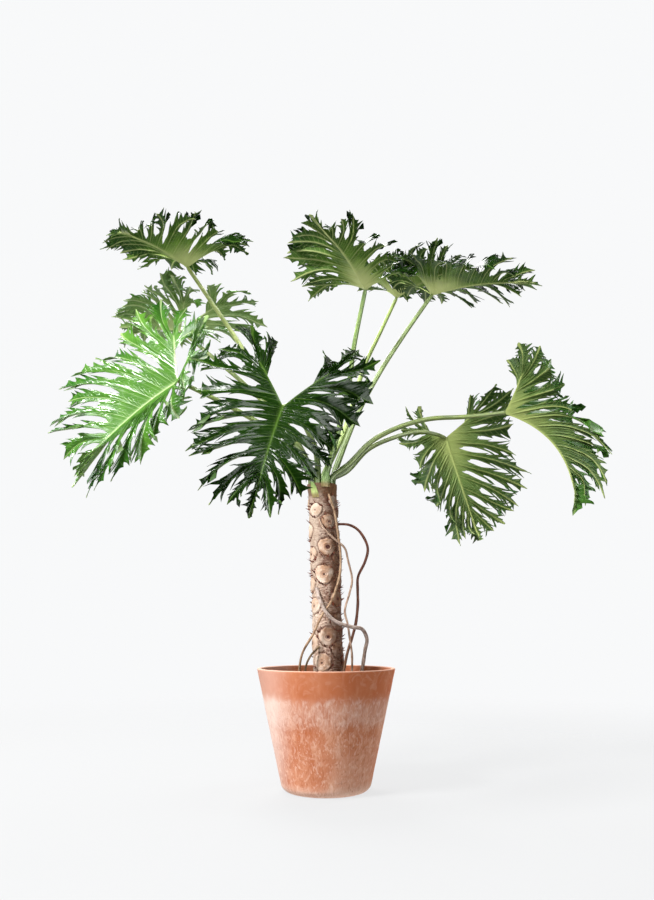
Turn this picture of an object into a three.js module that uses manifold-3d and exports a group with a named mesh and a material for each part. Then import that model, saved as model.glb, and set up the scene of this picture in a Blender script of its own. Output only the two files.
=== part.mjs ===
// A split-leaf philodendron grown as a small tree, standing in a terracotta pot.
//
// Units are millimetres, +Z is up, and the origin is the middle of the pot's foot. The plant faces -Y.
// Every piece that can be told apart on the plant is a mesh of its own: the pot, the soil, the trunk,
// the crown sheaths, one stalk and one blade for each leaf, and the aerial roots.

import * as THREE from 'three';
import * as BufferGeometryUtils from 'three/addons/utils/BufferGeometryUtils.js';
import Module from 'manifold-3d';

const wasm = await Module();
wasm.setup();

// ---------- driving dimensions ----------

const GAP = 0.3;                  // air between pieces that touch on the real plant

const POT_HEIGHT = 256;
const POT_RIM_RADIUS = 155;
const POT_FOOT_RADIUS = 95;
const POT_WALL = 9;
const POT_FLOOR = 12;
const POT_FOOT_ROUND = 16;        // radius of the rounded corner at the foot
const POT_LIP = 2;                // the rim's two edges are broken by this much
const POT_INNER_ROUND = 8;        // bevel where the wall meets the floor inside
const POT_SEGMENTS = 32;
const DRAIN_RADIUS = 6;
const DRAIN_RING = 48;            // the drain holes stand round the middle, which stays whole
const DRAIN_COUNT = 3;
const DRAIN_SIDES = 10;

const SOIL_TOP = 236;
const SOIL_CROWN = 5;             // the soil rises this much from the pot's wall towards the trunk

const TRUNK_FOOT = 190;           // height of the trunk's lowest end, inside the soil
const TRUNK_FOOT_X = 5;
const TRUNK_TOP = 672;
const TRUNK_BOW = 3;              // how far the trunk bends back half way up
const TRUNK_RADIUS = 33;
const TRUNK_PLUG_RADIUS = 34;     // the plain round foot that stands in the soil
const TRUNK_FLARE = 2;            // the crown is a little wider than the trunk
const TRUNK_SIDES = 22;
const TRUNK_ROWS = 27;
const BARK_START = SOIL_TOP + 3;  // the bark's relief starts clear of the soil

const BLADE_THICKNESS = 1.2;
const RIB_DEPTH = 2.2;            // how far the ribs stand out under the blade
const WEB = 0.44;                 // share of a lobe's length that is joined to its neighbours
const LOBE_HANG = 16;             // how far the free end of a lobe curls down

const STALK_SIDES = 7;
const STALK_STEPS = 10;
const ROOT_SIDES = 5;
const ROOT_STEP = 21;             // length of one step of a root

// ---------- the plant's places ----------

// The stalks stand in a ring on the crown. Each stalk is given by where it stands in the ring, by points
// that it passes through, and it ends at the junction of its blade. Junction, tip and the outermost tips
// at the right, left, back right and back left give a blade's place and fold; arch lifts its midrib.
const CROWN_X = -10;
const CROWN_RING = 25;
const LEAVES = [
  {
    junction: [-350, 0, 1230], tip: [-465, -190, 1220],
    right: [-510, 30, 1275], left: [-260, -115, 1265],
    backRight: [-305, 150, 1305], backLeft: [-215, 80, 1335],
    arch: 10, bulge: 14, ring: 170, path: [[-107, 10, 846], [-216, 10, 1031], [-285, 6, 1134]],
  },
  {
    junction: [-395, 180, 1130], tip: [-590, 350, 1175],
    right: [-260, 320, 1140], left: [-495, 80, 1175],
    backRight: [-215, 90, 1225], backLeft: [-335, 0, 1185],
    arch: 15, bulge: 15, ring: 130, path: [[-89, 45, 816], [-208, 100, 951], [-303, 145, 1044]],
  },
  {
    junction: [-330, -150, 880], tip: [-505, -250, 660],
    right: [-545, -70, 950], left: [-380, -230, 690],
    backRight: [-345, -30, 1115], backLeft: [-270, -120, 1025],
    arch: 15, bulge: 15, ring: 210, path: [[-61, -50, 746], [-183, -110, 813], [-270, -145, 852]],
  },
  {
    junction: [-85, -330, 770], tip: [-130, -455, 545],
    right: [-260, -350, 720], left: [20, -345, 680],
    backRight: [-165, -210, 985], backLeft: [80, -230, 930],
    arch: 20, bulge: 15, ring: 250, path: [[-23, -75, 735], [-51, -160, 785], [-70, -270, 790]],
  },
  {
    junction: [90, -150, 1100], tip: [-22, -330, 1165],
    right: [-62, -115, 1135], left: [160, -240, 1115],
    backRight: [20, 30, 1200], backLeft: [195, -40, 1205],
    arch: 15, bulge: 15, ring: 292, path: [[32, -60, 803], [53, -85, 894], [64, -115, 974]],
  },
  {
    junction: [195, 200, 1235], tip: [375, 80, 1265],
    right: [155, 40, 1280], left: [355, 310, 1310],
    backRight: [50, 220, 1340], backLeft: [105, 340, 1320],
    arch: 15, bulge: 15, ring: 90, path: [[46, 50, 819], [98, 110, 1002], [144, 155, 1114]],
  },
  {
    junction: [265, 0, 1155], tip: [495, -60, 1155],
    right: [260, -175, 1155], left: [390, 140, 1185],
    backRight: [165, -60, 1230], backLeft: [165, 110, 1240],
    arch: 14, bulge: 12, ring: 10, path: [[71, 5, 837], [128, 5, 947], [192, 0, 1048]],
  },
  {
    junction: [420, -50, 835], tip: [550, -110, 615],
    right: [535, -200, 780], left: [615, 50, 795],
    backRight: [450, -130, 990], backLeft: [530, 60, 1035],
    arch: 42, bulge: 10, ring: 330,
    path: [[54, -18, 719], [108, -25, 773], [171, -35, 804], [242, -42, 822], [323, -50, 825]],
  },
  {
    junction: [305, 120, 815], tip: [375, 100, 560],
    right: [470, 90, 770], left: [248, 60, 680],
    backRight: [445, 150, 965], backLeft: [200, 115, 884],
    arch: 5, bulge: 10, ring: 50,
    path: [[49, 22, 710], [100, 45, 767], [158, 70, 801], [231, 90, 824], [279, 107, 822]],
  },
];
const STALK_FOOT_RADIUS = 8;
const STALK_END_RADIUS = 4.8;

// Aerial roots leave the trunk, hang beside it and go down into the soil.
const ROOTS = [
  {
    radius: 2.6,
    path: [[4, -24, 649], [10, -40, 632], [18, -40, 607], [27, -36, 553], [33, -32, 503], [31, -33, 461],
      [21, -38, 426], [12, -42, 402], [-9, -44, 371], [-27, -46, 333], [-53, -48, 286], [-61, -52, 215]],
  },
  {
    radius: 2.4,
    path: [[-20, -22, 598], [-6, -44, 565], [21, -46, 538], [42, -40, 520], [50, -30, 492], [59, -22, 449],
      [52, -22, 417], [42, -30, 380], [48, -32, 352], [53, -36, 317], [57, -38, 285], [55, -38, 215]],
  },
  {
    radius: 3.2,
    path: [[21, -5, 579], [53, -6, 577], [74, -8, 565], [92, -10, 537], [96, -10, 518], [89, -10, 491],
      [73, -8, 457], [72, -6, 428], [72, -8, 396], [67, -10, 354], [60, -15, 328], [46, -28, 285],
      [32, -44, 215]],
  },
  {
    radius: 4.2,
    path: [[-21, -22, 432], [-14, -42, 404], [-2, -54, 380], [13, -54, 363], [33, -50, 352], [60, -42, 345],
      [80, -32, 341], [91, -24, 319], [87, -20, 296], [74, -20, 215]],
  },
  {
    radius: 2.2,
    path: [[-14, -22, 304], [-33, -38, 285], [-44, -40, 262], [-47, -38, 215]],
  },
];

// Leaf scars cover the trunk. Each is given by its angle round the trunk in degrees, its height, and its
// size as a share of the half width and half height below.
const LEAF_SCARS = [
  [247, 268, 1.05], [272, 324, 1.05], [264, 462, 1.1], [281, 524, 1], [291, 582, 0.85],
  [237, 609, 0.8], [196, 310, 1], [215, 392, 0.9], [186, 440, 1], [205, 508, 0.85],
  [180, 560, 1], [165, 625, 0.8], [318, 296, 0.9], [322, 356, 0.95], [318, 408, 0.85],
  [345, 452, 0.95], [330, 500, 0.8], [345, 556, 0.95], [325, 628, 0.8], [10, 275, 1],
  [128, 270, 1], [70, 300, 1], [25, 340, 0.95], [140, 350, 1], [82, 368, 0.95],
  [30, 405, 0.9], [112, 420, 1], [150, 480, 1], [60, 468, 1], [100, 520, 1],
  [25, 515, 0.95], [62, 575, 1], [128, 590, 0.95], [12, 612, 0.9], [95, 635, 0.9],
];
const SCAR_HALF_WIDTH = 20;
const SCAR_HALF_HEIGHT = 19;
const SCAR_HEIGHT = 3;
const PRICKLE_COUNT = 40;
const PRICKLE_LENGTH = 7;
const PRICKLE_RADIUS = 2;
const PRICKLE_SUNK = 4;           // length of a prickle inside the bark

// Two old leaf bases still stand against the crown as short green sheaths. Angles count round the crown.
const SHEATHS = [
  { angle: 242, foot: 638, top: 674, halfWidth: 15, turn: -9, lean: 1.5 },
  { angle: 283, foot: 662, top: 701, halfWidth: 17, turn: 2, lean: 5 },
];
const SHEATH_THICKNESS = 3;
const SHEATH_ROWS = 5;

// ---------- shared helpers ----------

const vec = (point) => new THREE.Vector3(...point);
const radians = THREE.MathUtils.degToRad;

// The point at a radius and an angle round an upright axis through centre.
const polar = (centre, radius, angle, z) => (
  new THREE.Vector3(centre.x + radius * Math.cos(angle), centre.y + radius * Math.sin(angle), z));

// Closed mesh geometry from shared points and triangles.
function geometryFrom(points, triangles) {
  const geometry = new THREE.BufferGeometry();
  const places = points.flatMap((point) => point.toArray());
  geometry.setAttribute('position', new THREE.Float32BufferAttribute(places, 3));
  geometry.setIndex(triangles.flat());
  return geometry;
}

function weld(geometry) {
  const bare = geometry.clone();
  bare.deleteAttribute('normal');
  bare.deleteAttribute('uv');
  return BufferGeometryUtils.mergeVertices(bare, 1e-4);
}

function toSolid(geometry) {
  const welded = weld(geometry);
  return new wasm.Manifold(new wasm.Mesh({
    numProp: 3,
    vertProperties: new Float32Array(welded.attributes.position.array),
    triVerts: new Uint32Array(welded.index.array),
  }));
}

// The largest connected piece of a solid: cuts can leave small scraps behind.
function largestPiece(solid) {
  return solid.decompose().reduce((best, piece) => (piece.volume() > best.volume() ? piece : best));
}

function fromSolid(solid) {
  const mesh = largestPiece(solid).getMesh();
  const geometry = new THREE.BufferGeometry();
  geometry.setAttribute('position', new THREE.BufferAttribute(new Float32Array(mesh.vertProperties), 3));
  geometry.setIndex(new THREE.BufferAttribute(new Uint32Array(mesh.triVerts), 1));
  return geometry;
}

// A round stalk, root or bore carried along a curve, with flat closed ends. radiusAt gives the radius
// at a share of the length.
function tube(points, radiusAt, sides, steps) {
  const curve = new THREE.CatmullRomCurve3(points.map(vec), false, 'centripetal');
  const circle = new THREE.Shape();
  circle.absarc(0, 0, 1, 0, 2 * Math.PI, false);
  const ring = new THREE.Shape(circle.getSpacedPoints(sides).slice(0, sides));
  const geometry = weld(new THREE.ExtrudeGeometry(ring, { steps, extrudePath: curve, bevelEnabled: false }));
  const position = geometry.attributes.position;
  const centres = curve.getSpacedPoints(steps);
  for (let i = 0; i < position.count; i += 1) {
    const point = new THREE.Vector3().fromBufferAttribute(position, i);
    let nearest = 0;
    centres.forEach((centre, index) => {
      if (centre.distanceTo(point) < centres[nearest].distanceTo(point)) {
        nearest = index;
      }
    });
    point.sub(centres[nearest]).multiplyScalar(radiusAt(nearest / steps)).add(centres[nearest]);
    position.setXYZ(i, point.x, point.y, point.z);
  }
  return geometry;
}

// ---------- blades ----------

// A blade is drawn on a unit plan: u runs across from the midrib, v along it. The midrib runs from the
// junction (0, 0) to the tip (0, 1), and behind the junction a back rib runs out on each side.
const BACK_RIB = { u: 0.3, v: -0.46 };
const BACK_END_U = 0.44;          // u of the tip of the last back lobe, whose v is -1
const MIDRIB_END = 0.8;           // the terminal lobe starts here
const WIDEST_V = 0.25;             // v of the tip of the widest lobe

// Lobes of the front division: where the vein leaves the midrib, and where its tip lies.
const FRONT_LOBES = [
  { station: 0.04, u: 0.98, v: 0.13 },
  { station: 0.14, u: 1.0, v: 0.34 },
  { station: 0.26, u: 0.94, v: 0.53 },
  { station: 0.38, u: 0.82, v: 0.69 },
  { station: 0.5, u: 0.66, v: 0.82 },
  { station: 0.61, u: 0.47, v: 0.92 },
  { station: 0.71, u: 0.26, v: 0.98 },
];
// Lobes of the back division: stations count along the back rib.
const BACK_LOBES = [
  { station: 0.22, u: 1.06, v: -0.12 },
  { station: 0.52, u: 1.02, v: -0.5 },
  { station: 0.8, u: 0.8, v: -0.84 },
];
const SMALL_STATION = 0.6;         // front lobes past this station have one tooth a side
const INNER_LOBE = { station: 0.8, u: 0.06, v: -0.8 };

// A lobe's free margin goes from its neck out to each tooth and back into the notch behind it:
// along is the share of the vein, out is the share of the way to the line between two lobes.
const NECK = { along: 0.5, out: 0.62 };
const TEETH = [
  { point: { along: 0.7, out: 0.93 }, notch: { along: 0.61, out: 0.42 } },
  { point: { along: 0.88, out: 0.8 }, notch: { along: 0.78, out: 0.3 } },
];
const WEB_STEPS = [0.2, WEB];

// A repeatable stream of numbers between 0 and 1 (mulberry32).
function seededDraws(seed) {
  let state = seed >>> 0;
  return () => {
    state = (state + 0x6d2b79f5) >>> 0;
    let mixed = Math.imul(state ^ (state >>> 15), state | 1);
    mixed ^= mixed + Math.imul(mixed ^ (mixed >>> 7), mixed | 61);
    return ((mixed ^ (mixed >>> 14)) >>> 0) / 4294967296;
  };
}

const backRibPoint = (side, station) => new THREE.Vector2(side * BACK_RIB.u * station, BACK_RIB.v * station);

// The plan of one blade: its veins in order round the blade, from the right inner lobe over the tip to
// the left inner lobe. Each vein is a bent line in (u, v) from its rib to the tip of its lobe.
function planVeins(seed) {
  const draw = seededDraws(seed);
  const wobble = (amount) => (draw() - 0.5) * 2 * amount;
  const vein = (start, u, v, bend, small) => {
    const tip = new THREE.Vector2(u + wobble(0.03), v + wobble(0.02));
    const middle = new THREE.Vector2(
      THREE.MathUtils.lerp(start.x, tip.x, bend.across),
      THREE.MathUtils.lerp(start.y, tip.y, bend.along),
    );
    return { start, middle, tip, small, curl: 0.6 + 0.6 * draw(), teeth: [draw(), draw(), draw(), draw()] };
  };
  const straight = { across: 0.5, along: 0.5 };
  const backBend = { across: 0.55, along: 0.4 };
  const frontBend = { across: 0.55, along: 0.35 };
  const sideVeins = (side) => [
    vein(backRibPoint(side, INNER_LOBE.station), side * INNER_LOBE.u, INNER_LOBE.v, straight, true),
    vein(backRibPoint(side, 1), side * BACK_END_U, -1, straight, false),
    ...[...BACK_LOBES].reverse().map((lobe) => vein(
      backRibPoint(side, lobe.station), side * lobe.u, lobe.v, backBend, false)),
    ...FRONT_LOBES.map((lobe) => vein(
      new THREE.Vector2(0, lobe.station), side * lobe.u, lobe.v, frontBend, lobe.station > SMALL_STATION)),
  ];
  const terminal = vein(new THREE.Vector2(0, MIDRIB_END), 0, 1.04, straight, true);
  return [...sideVeins(1), terminal, ...sideVeins(-1).reverse()];
}

const quadratic = (a, b, c, t) => a.clone().multiplyScalar((1 - t) ** 2)
  .addScaledVector(b, 2 * t * (1 - t)).addScaledVector(c, t * t);

const veinPoint = (vein, t) => quadratic(vein.start, vein.middle, vein.tip, t);

// The point on a rib where the border between two neighbouring lobes starts.
function borderStart(first, second) {
  const onMidrib = (vein) => Math.abs(vein.start.x) < 1e-9;
  if (onMidrib(first) !== onMidrib(second)) {
    return new THREE.Vector2(0, 0);
  }
  return first.start.clone().add(second.start).multiplyScalar(0.5);
}

// The border between two lobes: the line half way between their veins, drawn back to the rib.
function borderPoint(first, second, t) {
  const middle = veinPoint(first, t).add(veinPoint(second, t)).multiplyScalar(0.5);
  const pull = Math.max(0, 1 - t / WEB);
  const ribShift = borderStart(first, second).sub(first.start.clone().add(second.start).multiplyScalar(0.5));
  return middle.addScaledVector(ribShift, pull);
}

// The open side of an inner lobe has no neighbour: its edge runs out from the back rib beside its vein.
function openBorderPoint(vein, side, t) {
  const [before, beside] = [BACK_LOBES[1].station, BACK_LOBES[2].station];
  const shift = backRibPoint(side, (before + beside) / 2).sub(vein.start);
  return veinPoint(vein, t).addScaledVector(shift, 1 - 0.55 * t);
}

// One margin of a lobe, from the rib out to its last notch: first the points along the border and the
// neck, then for each tooth its point and its notch. Each entry holds the plan point and the share of the
// vein's length, which sets how far the point curls down.
function lobeMargin(vein, border, toothDraws, toothCount) {
  const entry = (step, reach, shift) => {
    const t = step.along + shift;
    return { plan: veinPoint(vein, t).lerp(border(t), step.out * reach), t };
  };
  const points = [0, ...WEB_STEPS].map((t) => ({ plan: border(t), t }));
  points.push(entry(NECK, 1, 0));
  TEETH.slice(0, toothCount).forEach((tooth, index) => {
    const shift = (toothDraws[index] - 0.5) * 0.05;
    points.push(entry(tooth.point, 0.86 + 0.14 * toothDraws[1 - index], shift));
    points.push(entry(tooth.notch, 1, shift));
  });
  return points;
}

// The triangles of one lobe, as places in its two margins: bands across the lobe, the teeth outside
// them, and the pointed end. They are the same for both faces of the blade.
function lobeFaces(first, last, tip) {
  const bandRows = [0, 1, 2, 3];
  const faces = [];
  for (let notch = 5; notch < first.length; notch += 2) {
    bandRows.push(notch);
    faces.push([first[notch - 2], first[notch - 1], first[notch]]);
    faces.push([last[notch - 2], last[notch], last[notch - 1]]);
  }
  for (let k = 0; k + 1 < bandRows.length; k += 1) {
    const [near, far] = [bandRows[k], bandRows[k + 1]];
    faces.push([first[near], first[far], last[far]], [first[near], last[far], last[near]]);
  }
  const end = first.length - 1;
  faces.push([first[end], tip, last[end]]);
  return faces.filter((face) => new Set(face).size === 3);
}

// Carries plan points into space. The blade is folded in four quarters round its junction, each set by
// where the tips of its main lobes lie, and it bulges along its normal between the ribs and its edge.
function bladeSurface(leaf) {
  const junction = vec(leaf.junction);
  const length = vec(leaf.tip).sub(junction);
  const sides = [-1, 1].map((side) => {
    const edge = vec(side > 0 ? leaf.right : leaf.left).sub(junction).addScaledVector(length, -WIDEST_V);
    const back = vec(side > 0 ? leaf.backRight : leaf.backLeft).sub(junction)
      .addScaledVector(edge, -BACK_END_U);
    return { edge, back };
  });
  const normal = sides[1].edge.clone().sub(sides[0].edge).cross(length).normalize();
  const at = (u, v) => {
    const side = sides[u < 0 ? 0 : 1];
    const point = junction.clone().addScaledVector(side.edge, Math.abs(u));
    if (v >= 0) {
      point.addScaledVector(length, v);
      point.addScaledVector(normal, leaf.arch * 4 * v * (1 - v) * (1 - Math.abs(u) * 0.5));
    } else {
      point.addScaledVector(side.back, -v);
    }
    const reach = Math.min(1, Math.hypot(u, Math.min(0, v)));
    point.addScaledVector(normal, leaf.bulge * 4 * reach * (1 - reach));
    return point;
  };
  return { at, normal };
}

// The blade's mid surface as shared points and triangles.
function bladeSheet(leaf, seed) {
  const veins = planVeins(seed);
  const surface = bladeSurface(leaf);
  const points = [];
  const ribDepths = [];
  const indexOf = new Map();
  const addPoint = (entry, vein) => {
    const key = `${entry.plan.x.toFixed(5)},${entry.plan.y.toFixed(5)}`;
    if (!indexOf.has(key)) {
      const free = Math.max(0, (entry.t - WEB) / (1 - WEB));
      const point = surface.at(entry.plan.x, entry.plan.y);
      point.addScaledVector(surface.normal, -LOBE_HANG * vein.curl * free * free);
      indexOf.set(key, points.length);
      points.push(point);
      ribDepths.push(entry.t === 0 ? RIB_DEPTH : 0);
    }
    return indexOf.get(key);
  };
  const triangles = [];
  veins.forEach((vein, index) => {
    const before = veins[index - 1];
    const after = veins[index + 1];
    const toothCount = vein.small ? 1 : 2;
    const firstBorder = before ? (t) => borderPoint(before, vein, t) : (t) => openBorderPoint(vein, 1, t);
    const lastBorder = after ? (t) => borderPoint(vein, after, t) : (t) => openBorderPoint(vein, -1, t);
    const first = lobeMargin(vein, firstBorder, vein.teeth.slice(0, 2), toothCount);
    const last = lobeMargin(vein, lastBorder, vein.teeth.slice(2), toothCount);
    const firstCorners = first.map((entry) => addPoint(entry, vein));
    const lastCorners = last.map((entry) => addPoint(entry, vein));
    const tip = addPoint({ plan: vein.tip, t: 1 }, vein);
    triangles.push(...lobeFaces(firstCorners, lastCorners, tip));
  });
  return { points, triangles, ribDepths };
}

// Gives the sheet its thickness: both faces lie along the points' normals and share one set of
// triangles, and a wall closes the edge. The ribs stand out on the lower face. extra fattens the blade,
// and widening moves its edge outwards.
function bladeSolid(sheet, extra, widening) {
  const { points, triangles, ribDepths } = sheet;
  const normals = points.map(() => new THREE.Vector3());
  triangles.forEach(([a, b, c]) => {
    const face = points[b].clone().sub(points[a]).cross(points[c].clone().sub(points[a]));
    [a, b, c].forEach((corner) => normals[corner].add(face));
  });
  normals.forEach((normal) => normal.normalize());
  const edges = new Set(triangles.flatMap(([a, b, c]) => [`${a},${b}`, `${b},${c}`, `${c},${a}`]));
  const rim = [...edges].map((edge) => edge.split(',').map(Number))
    .filter(([from, to]) => !edges.has(`${to},${from}`));
  const outward = points.map(() => new THREE.Vector3());
  rim.forEach(([from, to]) => {
    const away = points[to].clone().sub(points[from]).cross(normals[from]).normalize();
    [from, to].forEach((corner) => outward[corner].add(away));
  });
  const half = BLADE_THICKNESS / 2 + extra;
  const widened = points.map((point, i) => point.clone().addScaledVector(outward[i].normalize(), widening));
  const upper = widened.map((point, i) => point.clone().addScaledVector(normals[i], half));
  const lower = widened.map((point, i) => point.clone().addScaledVector(normals[i], -half - ribDepths[i]));
  const count = points.length;
  const faces = triangles.flatMap(([a, b, c]) => [[a, b, c], [a + count, c + count, b + count]]);
  rim.forEach(([from, to]) => {
    faces.push([from, from + count, to + count], [from, to + count, to]);
  });
  return geometryFrom([...upper, ...lower], faces);
}

// ---------- trunk ----------

const trunkCentre = (z) => {
  const rise = (z - TRUNK_FOOT) / (TRUNK_TOP - TRUNK_FOOT);
  return new THREE.Vector2(
    THREE.MathUtils.lerp(TRUNK_FOOT_X, CROWN_X, rise ** 1.6),
    TRUNK_BOW * Math.sin(rise * Math.PI),
  );
};

const trunkFlare = (z) => TRUNK_FLARE * THREE.MathUtils.smoothstep(z, TRUNK_TOP - 40, TRUNK_TOP);

const SCARS = LEAF_SCARS.map(([degrees, z, size]) => ({ angle: radians(degrees), z, size }));

// How far the bark stands out of the plain trunk at an angle and a height: a leaf scar is a low shield
// that rises to its lower rim, and the bark between the scars is drawn in.
function barkRelief(angle, z) {
  const soilFade = THREE.MathUtils.smoothstep(z, SOIL_TOP + 2, SOIL_TOP + 16);
  const topFade = 1 - THREE.MathUtils.smoothstep(z, TRUNK_TOP - 30, TRUNK_TOP);
  let relief = 0;
  SCARS.forEach((scar) => {
    const turn = Math.atan2(Math.sin(angle - scar.angle), Math.cos(angle - scar.angle));
    const across = (turn * TRUNK_RADIUS) / (SCAR_HALF_WIDTH * scar.size);
    const up = (z - scar.z) / (SCAR_HALF_HEIGHT * scar.size);
    const distance = Math.hypot(across, up);
    if (distance < 1) {
      relief = Math.max(relief, SCAR_HEIGHT * (1 - distance ** 4) * (0.8 - 0.2 * up));
    }
  });
  return relief * soilFade * topFade;
}

// The trunk as rings of points round its leaning centre line, closed by a flat disc at each end. The two
// lowest rings are its plain foot. Every other ring above them is turned by half a side.
function trunkGeometry(extra) {
  const heights = [TRUNK_FOOT, BARK_START];
  for (let i = 1; i <= TRUNK_ROWS; i += 1) {
    heights.push(THREE.MathUtils.lerp(BARK_START, TRUNK_TOP, i / TRUNK_ROWS));
  }
  const isTurned = (row) => row > 1 && row % 2 === 1;
  const points = [];
  const faces = [];
  heights.forEach((z, row) => {
    const isFoot = row < 2;
    const centre = trunkCentre(isFoot ? TRUNK_FOOT : z);
    for (let k = 0; k < TRUNK_SIDES; k += 1) {
      const angle = ((k + (isTurned(row) ? 0.5 : 0)) / TRUNK_SIDES) * 2 * Math.PI;
      const plain = isFoot ? TRUNK_PLUG_RADIUS : TRUNK_RADIUS + trunkFlare(z) + barkRelief(angle, z);
      points.push(polar(centre, plain + extra, angle, z));
    }
  });
  const at = (row, k) => row * TRUNK_SIDES + (k % TRUNK_SIDES);
  for (let row = 0; row + 1 < heights.length; row += 1) {
    for (let k = 0; k < TRUNK_SIDES; k += 1) {
      const [low, lowNext, high, highNext] = [at(row, k), at(row, k + 1), at(row + 1, k), at(row + 1, k + 1)];
      if (isTurned(row)) {
        faces.push([low, highNext, high], [low, lowNext, highNext]);
      } else {
        faces.push([low, lowNext, high], [lowNext, highNext, high]);
      }
    }
  }
  const last = heights.length - 1;
  const [foot, top] = [points.length, points.length + 1];
  points.push(new THREE.Vector3(...trunkCentre(TRUNK_FOOT), TRUNK_FOOT));
  points.push(new THREE.Vector3(...trunkCentre(TRUNK_TOP), TRUNK_TOP + extra));
  for (let k = 0; k < TRUNK_SIDES; k += 1) {
    faces.push([foot, at(0, k + 1), at(0, k)], [top, at(last, k), at(last, k + 1)]);
  }
  return geometryFrom(points, faces);
}

// Prickles stand round the leaf scars, sunk well into the bark. Each is a slim three-sided cone.
function pricklePlaces() {
  const draw = seededDraws(41);
  return Array.from({ length: PRICKLE_COUNT }, (_, i) => {
    const scar = SCARS[i % SCARS.length];
    const around = draw() * 2 * Math.PI;
    const z = scar.z + 1.05 * SCAR_HALF_HEIGHT * scar.size * Math.sin(around);
    return {
      angle: scar.angle + (1.1 * SCAR_HALF_WIDTH * scar.size * Math.cos(around)) / TRUNK_RADIUS,
      z: THREE.MathUtils.clamp(z, SOIL_TOP + 14, TRUNK_TOP - 14),
      length: PRICKLE_LENGTH * (0.6 + 0.6 * draw()),
      lift: 0.5 * (draw() - 0.2),
    };
  });
}

function prickleSolid(place) {
  const cone = new THREE.ConeGeometry(PRICKLE_RADIUS, place.length + PRICKLE_SUNK, 3);
  const outward = new THREE.Vector3(Math.cos(place.angle), Math.sin(place.angle), place.lift).normalize();
  cone.applyQuaternion(new THREE.Quaternion().setFromUnitVectors(new THREE.Vector3(0, 1, 0), outward));
  const centre = trunkCentre(place.z);
  const foot = new THREE.Vector3(centre.x, centre.y, place.z);
  foot.addScaledVector(outward, TRUNK_RADIUS + (place.length - PRICKLE_SUNK) / 2);
  cone.translate(foot.x, foot.y, foot.z);
  return toSolid(cone);
}

const trunkCutter = toSolid(trunkGeometry(GAP));
const trunkSolid = pricklePlaces().reduce(
  (solid, place) => solid.add(prickleSolid(place)),
  toSolid(trunkGeometry(0)),
);
const prickleCutter = pricklePlaces().reduce(
  (solid, place) => solid.add(prickleSolid({ ...place, length: place.length + 5 * GAP })),
  trunkCutter,
);

// A sheath is a curved shield against the side of the crown that narrows to a blunt tip. Each row is a
// loop of points: along its inner face, then back along its bulging outer face.
function sheathGeometry(sheath) {
  const across = [-1, -0.4, 0.4, 1];
  const points = [];
  const faces = [];
  for (let row = 0; row <= SHEATH_ROWS; row += 1) {
    const rise = row / SHEATH_ROWS;
    const halfWidth = radians(sheath.halfWidth) * Math.sqrt(1 - 0.97 * rise ** 2.2);
    const middle = radians(sheath.angle + sheath.turn * rise);
    const z = THREE.MathUtils.lerp(sheath.foot, sheath.top, rise);
    const centre = trunkCentre(Math.min(z, TRUNK_TOP));
    const inner = TRUNK_RADIUS + trunkFlare(z) + GAP + sheath.lean * rise ** 1.5;
    const place = (share, radius) => polar(centre, radius, middle + halfWidth * share, z);
    across.forEach((share) => points.push(place(share, inner)));
    [...across].reverse().forEach((share) => {
      points.push(place(share, inner + SHEATH_THICKNESS * (1 - 0.6 * share ** 2) * (1 - 0.4 * rise)));
    });
  }
  const loop = 2 * across.length;
  for (let row = 0; row < SHEATH_ROWS; row += 1) {
    for (let k = 0; k < loop; k += 1) {
      const [low, lowNext] = [row * loop + k, row * loop + ((k + 1) % loop)];
      faces.push([low, low + loop, lowNext + loop], [low, lowNext + loop, lowNext]);
    }
  }
  for (let k = 1; k + 1 < loop; k += 1) {
    const top = SHEATH_ROWS * loop;
    faces.push([0, k, k + 1], [top, top + k + 1, top + k]);
  }
  return geometryFrom(points, faces);
}

// ---------- stalks ----------

function stalkFoot(leaf) {
  const angle = radians(leaf.ring);
  const [x, y] = [CROWN_X + CROWN_RING * Math.cos(angle), CROWN_RING * Math.sin(angle)];
  return [[x, y, TRUNK_TOP + GAP], [x + Math.cos(angle), y + Math.sin(angle), TRUNK_TOP + 14]];
}

function stalkGeometry(leaf) {
  const points = [...stalkFoot(leaf), ...leaf.path, leaf.junction];
  const radiusAt = (share) => THREE.MathUtils.lerp(STALK_FOOT_RADIUS, STALK_END_RADIUS, share ** 0.6);
  return tube(points, radiusAt, STALK_SIDES, STALK_STEPS);
}

// ---------- roots ----------

function rootGeometry(root, extra) {
  const length = new THREE.CatmullRomCurve3(root.path.map(vec), false, 'centripetal').getLength();
  return tube(root.path, () => root.radius + extra, ROOT_SIDES, Math.ceil(length / ROOT_STEP));
}

// ---------- pot and soil ----------

const potSlope = (POT_RIM_RADIUS - POT_FOOT_RADIUS) / POT_HEIGHT;
const potOuter = (z) => POT_FOOT_RADIUS + potSlope * z;
const potInner = (z) => potOuter(z) - POT_WALL;

// A solid of revolution round +Z from a profile of [radius, z] points.
const ringed = (profile) => {
  const outline = profile.map(([radius, z]) => new THREE.Vector2(radius, z));
  return new THREE.LatheGeometry(outline, POT_SEGMENTS).rotateX(Math.PI / 2);
};

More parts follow.
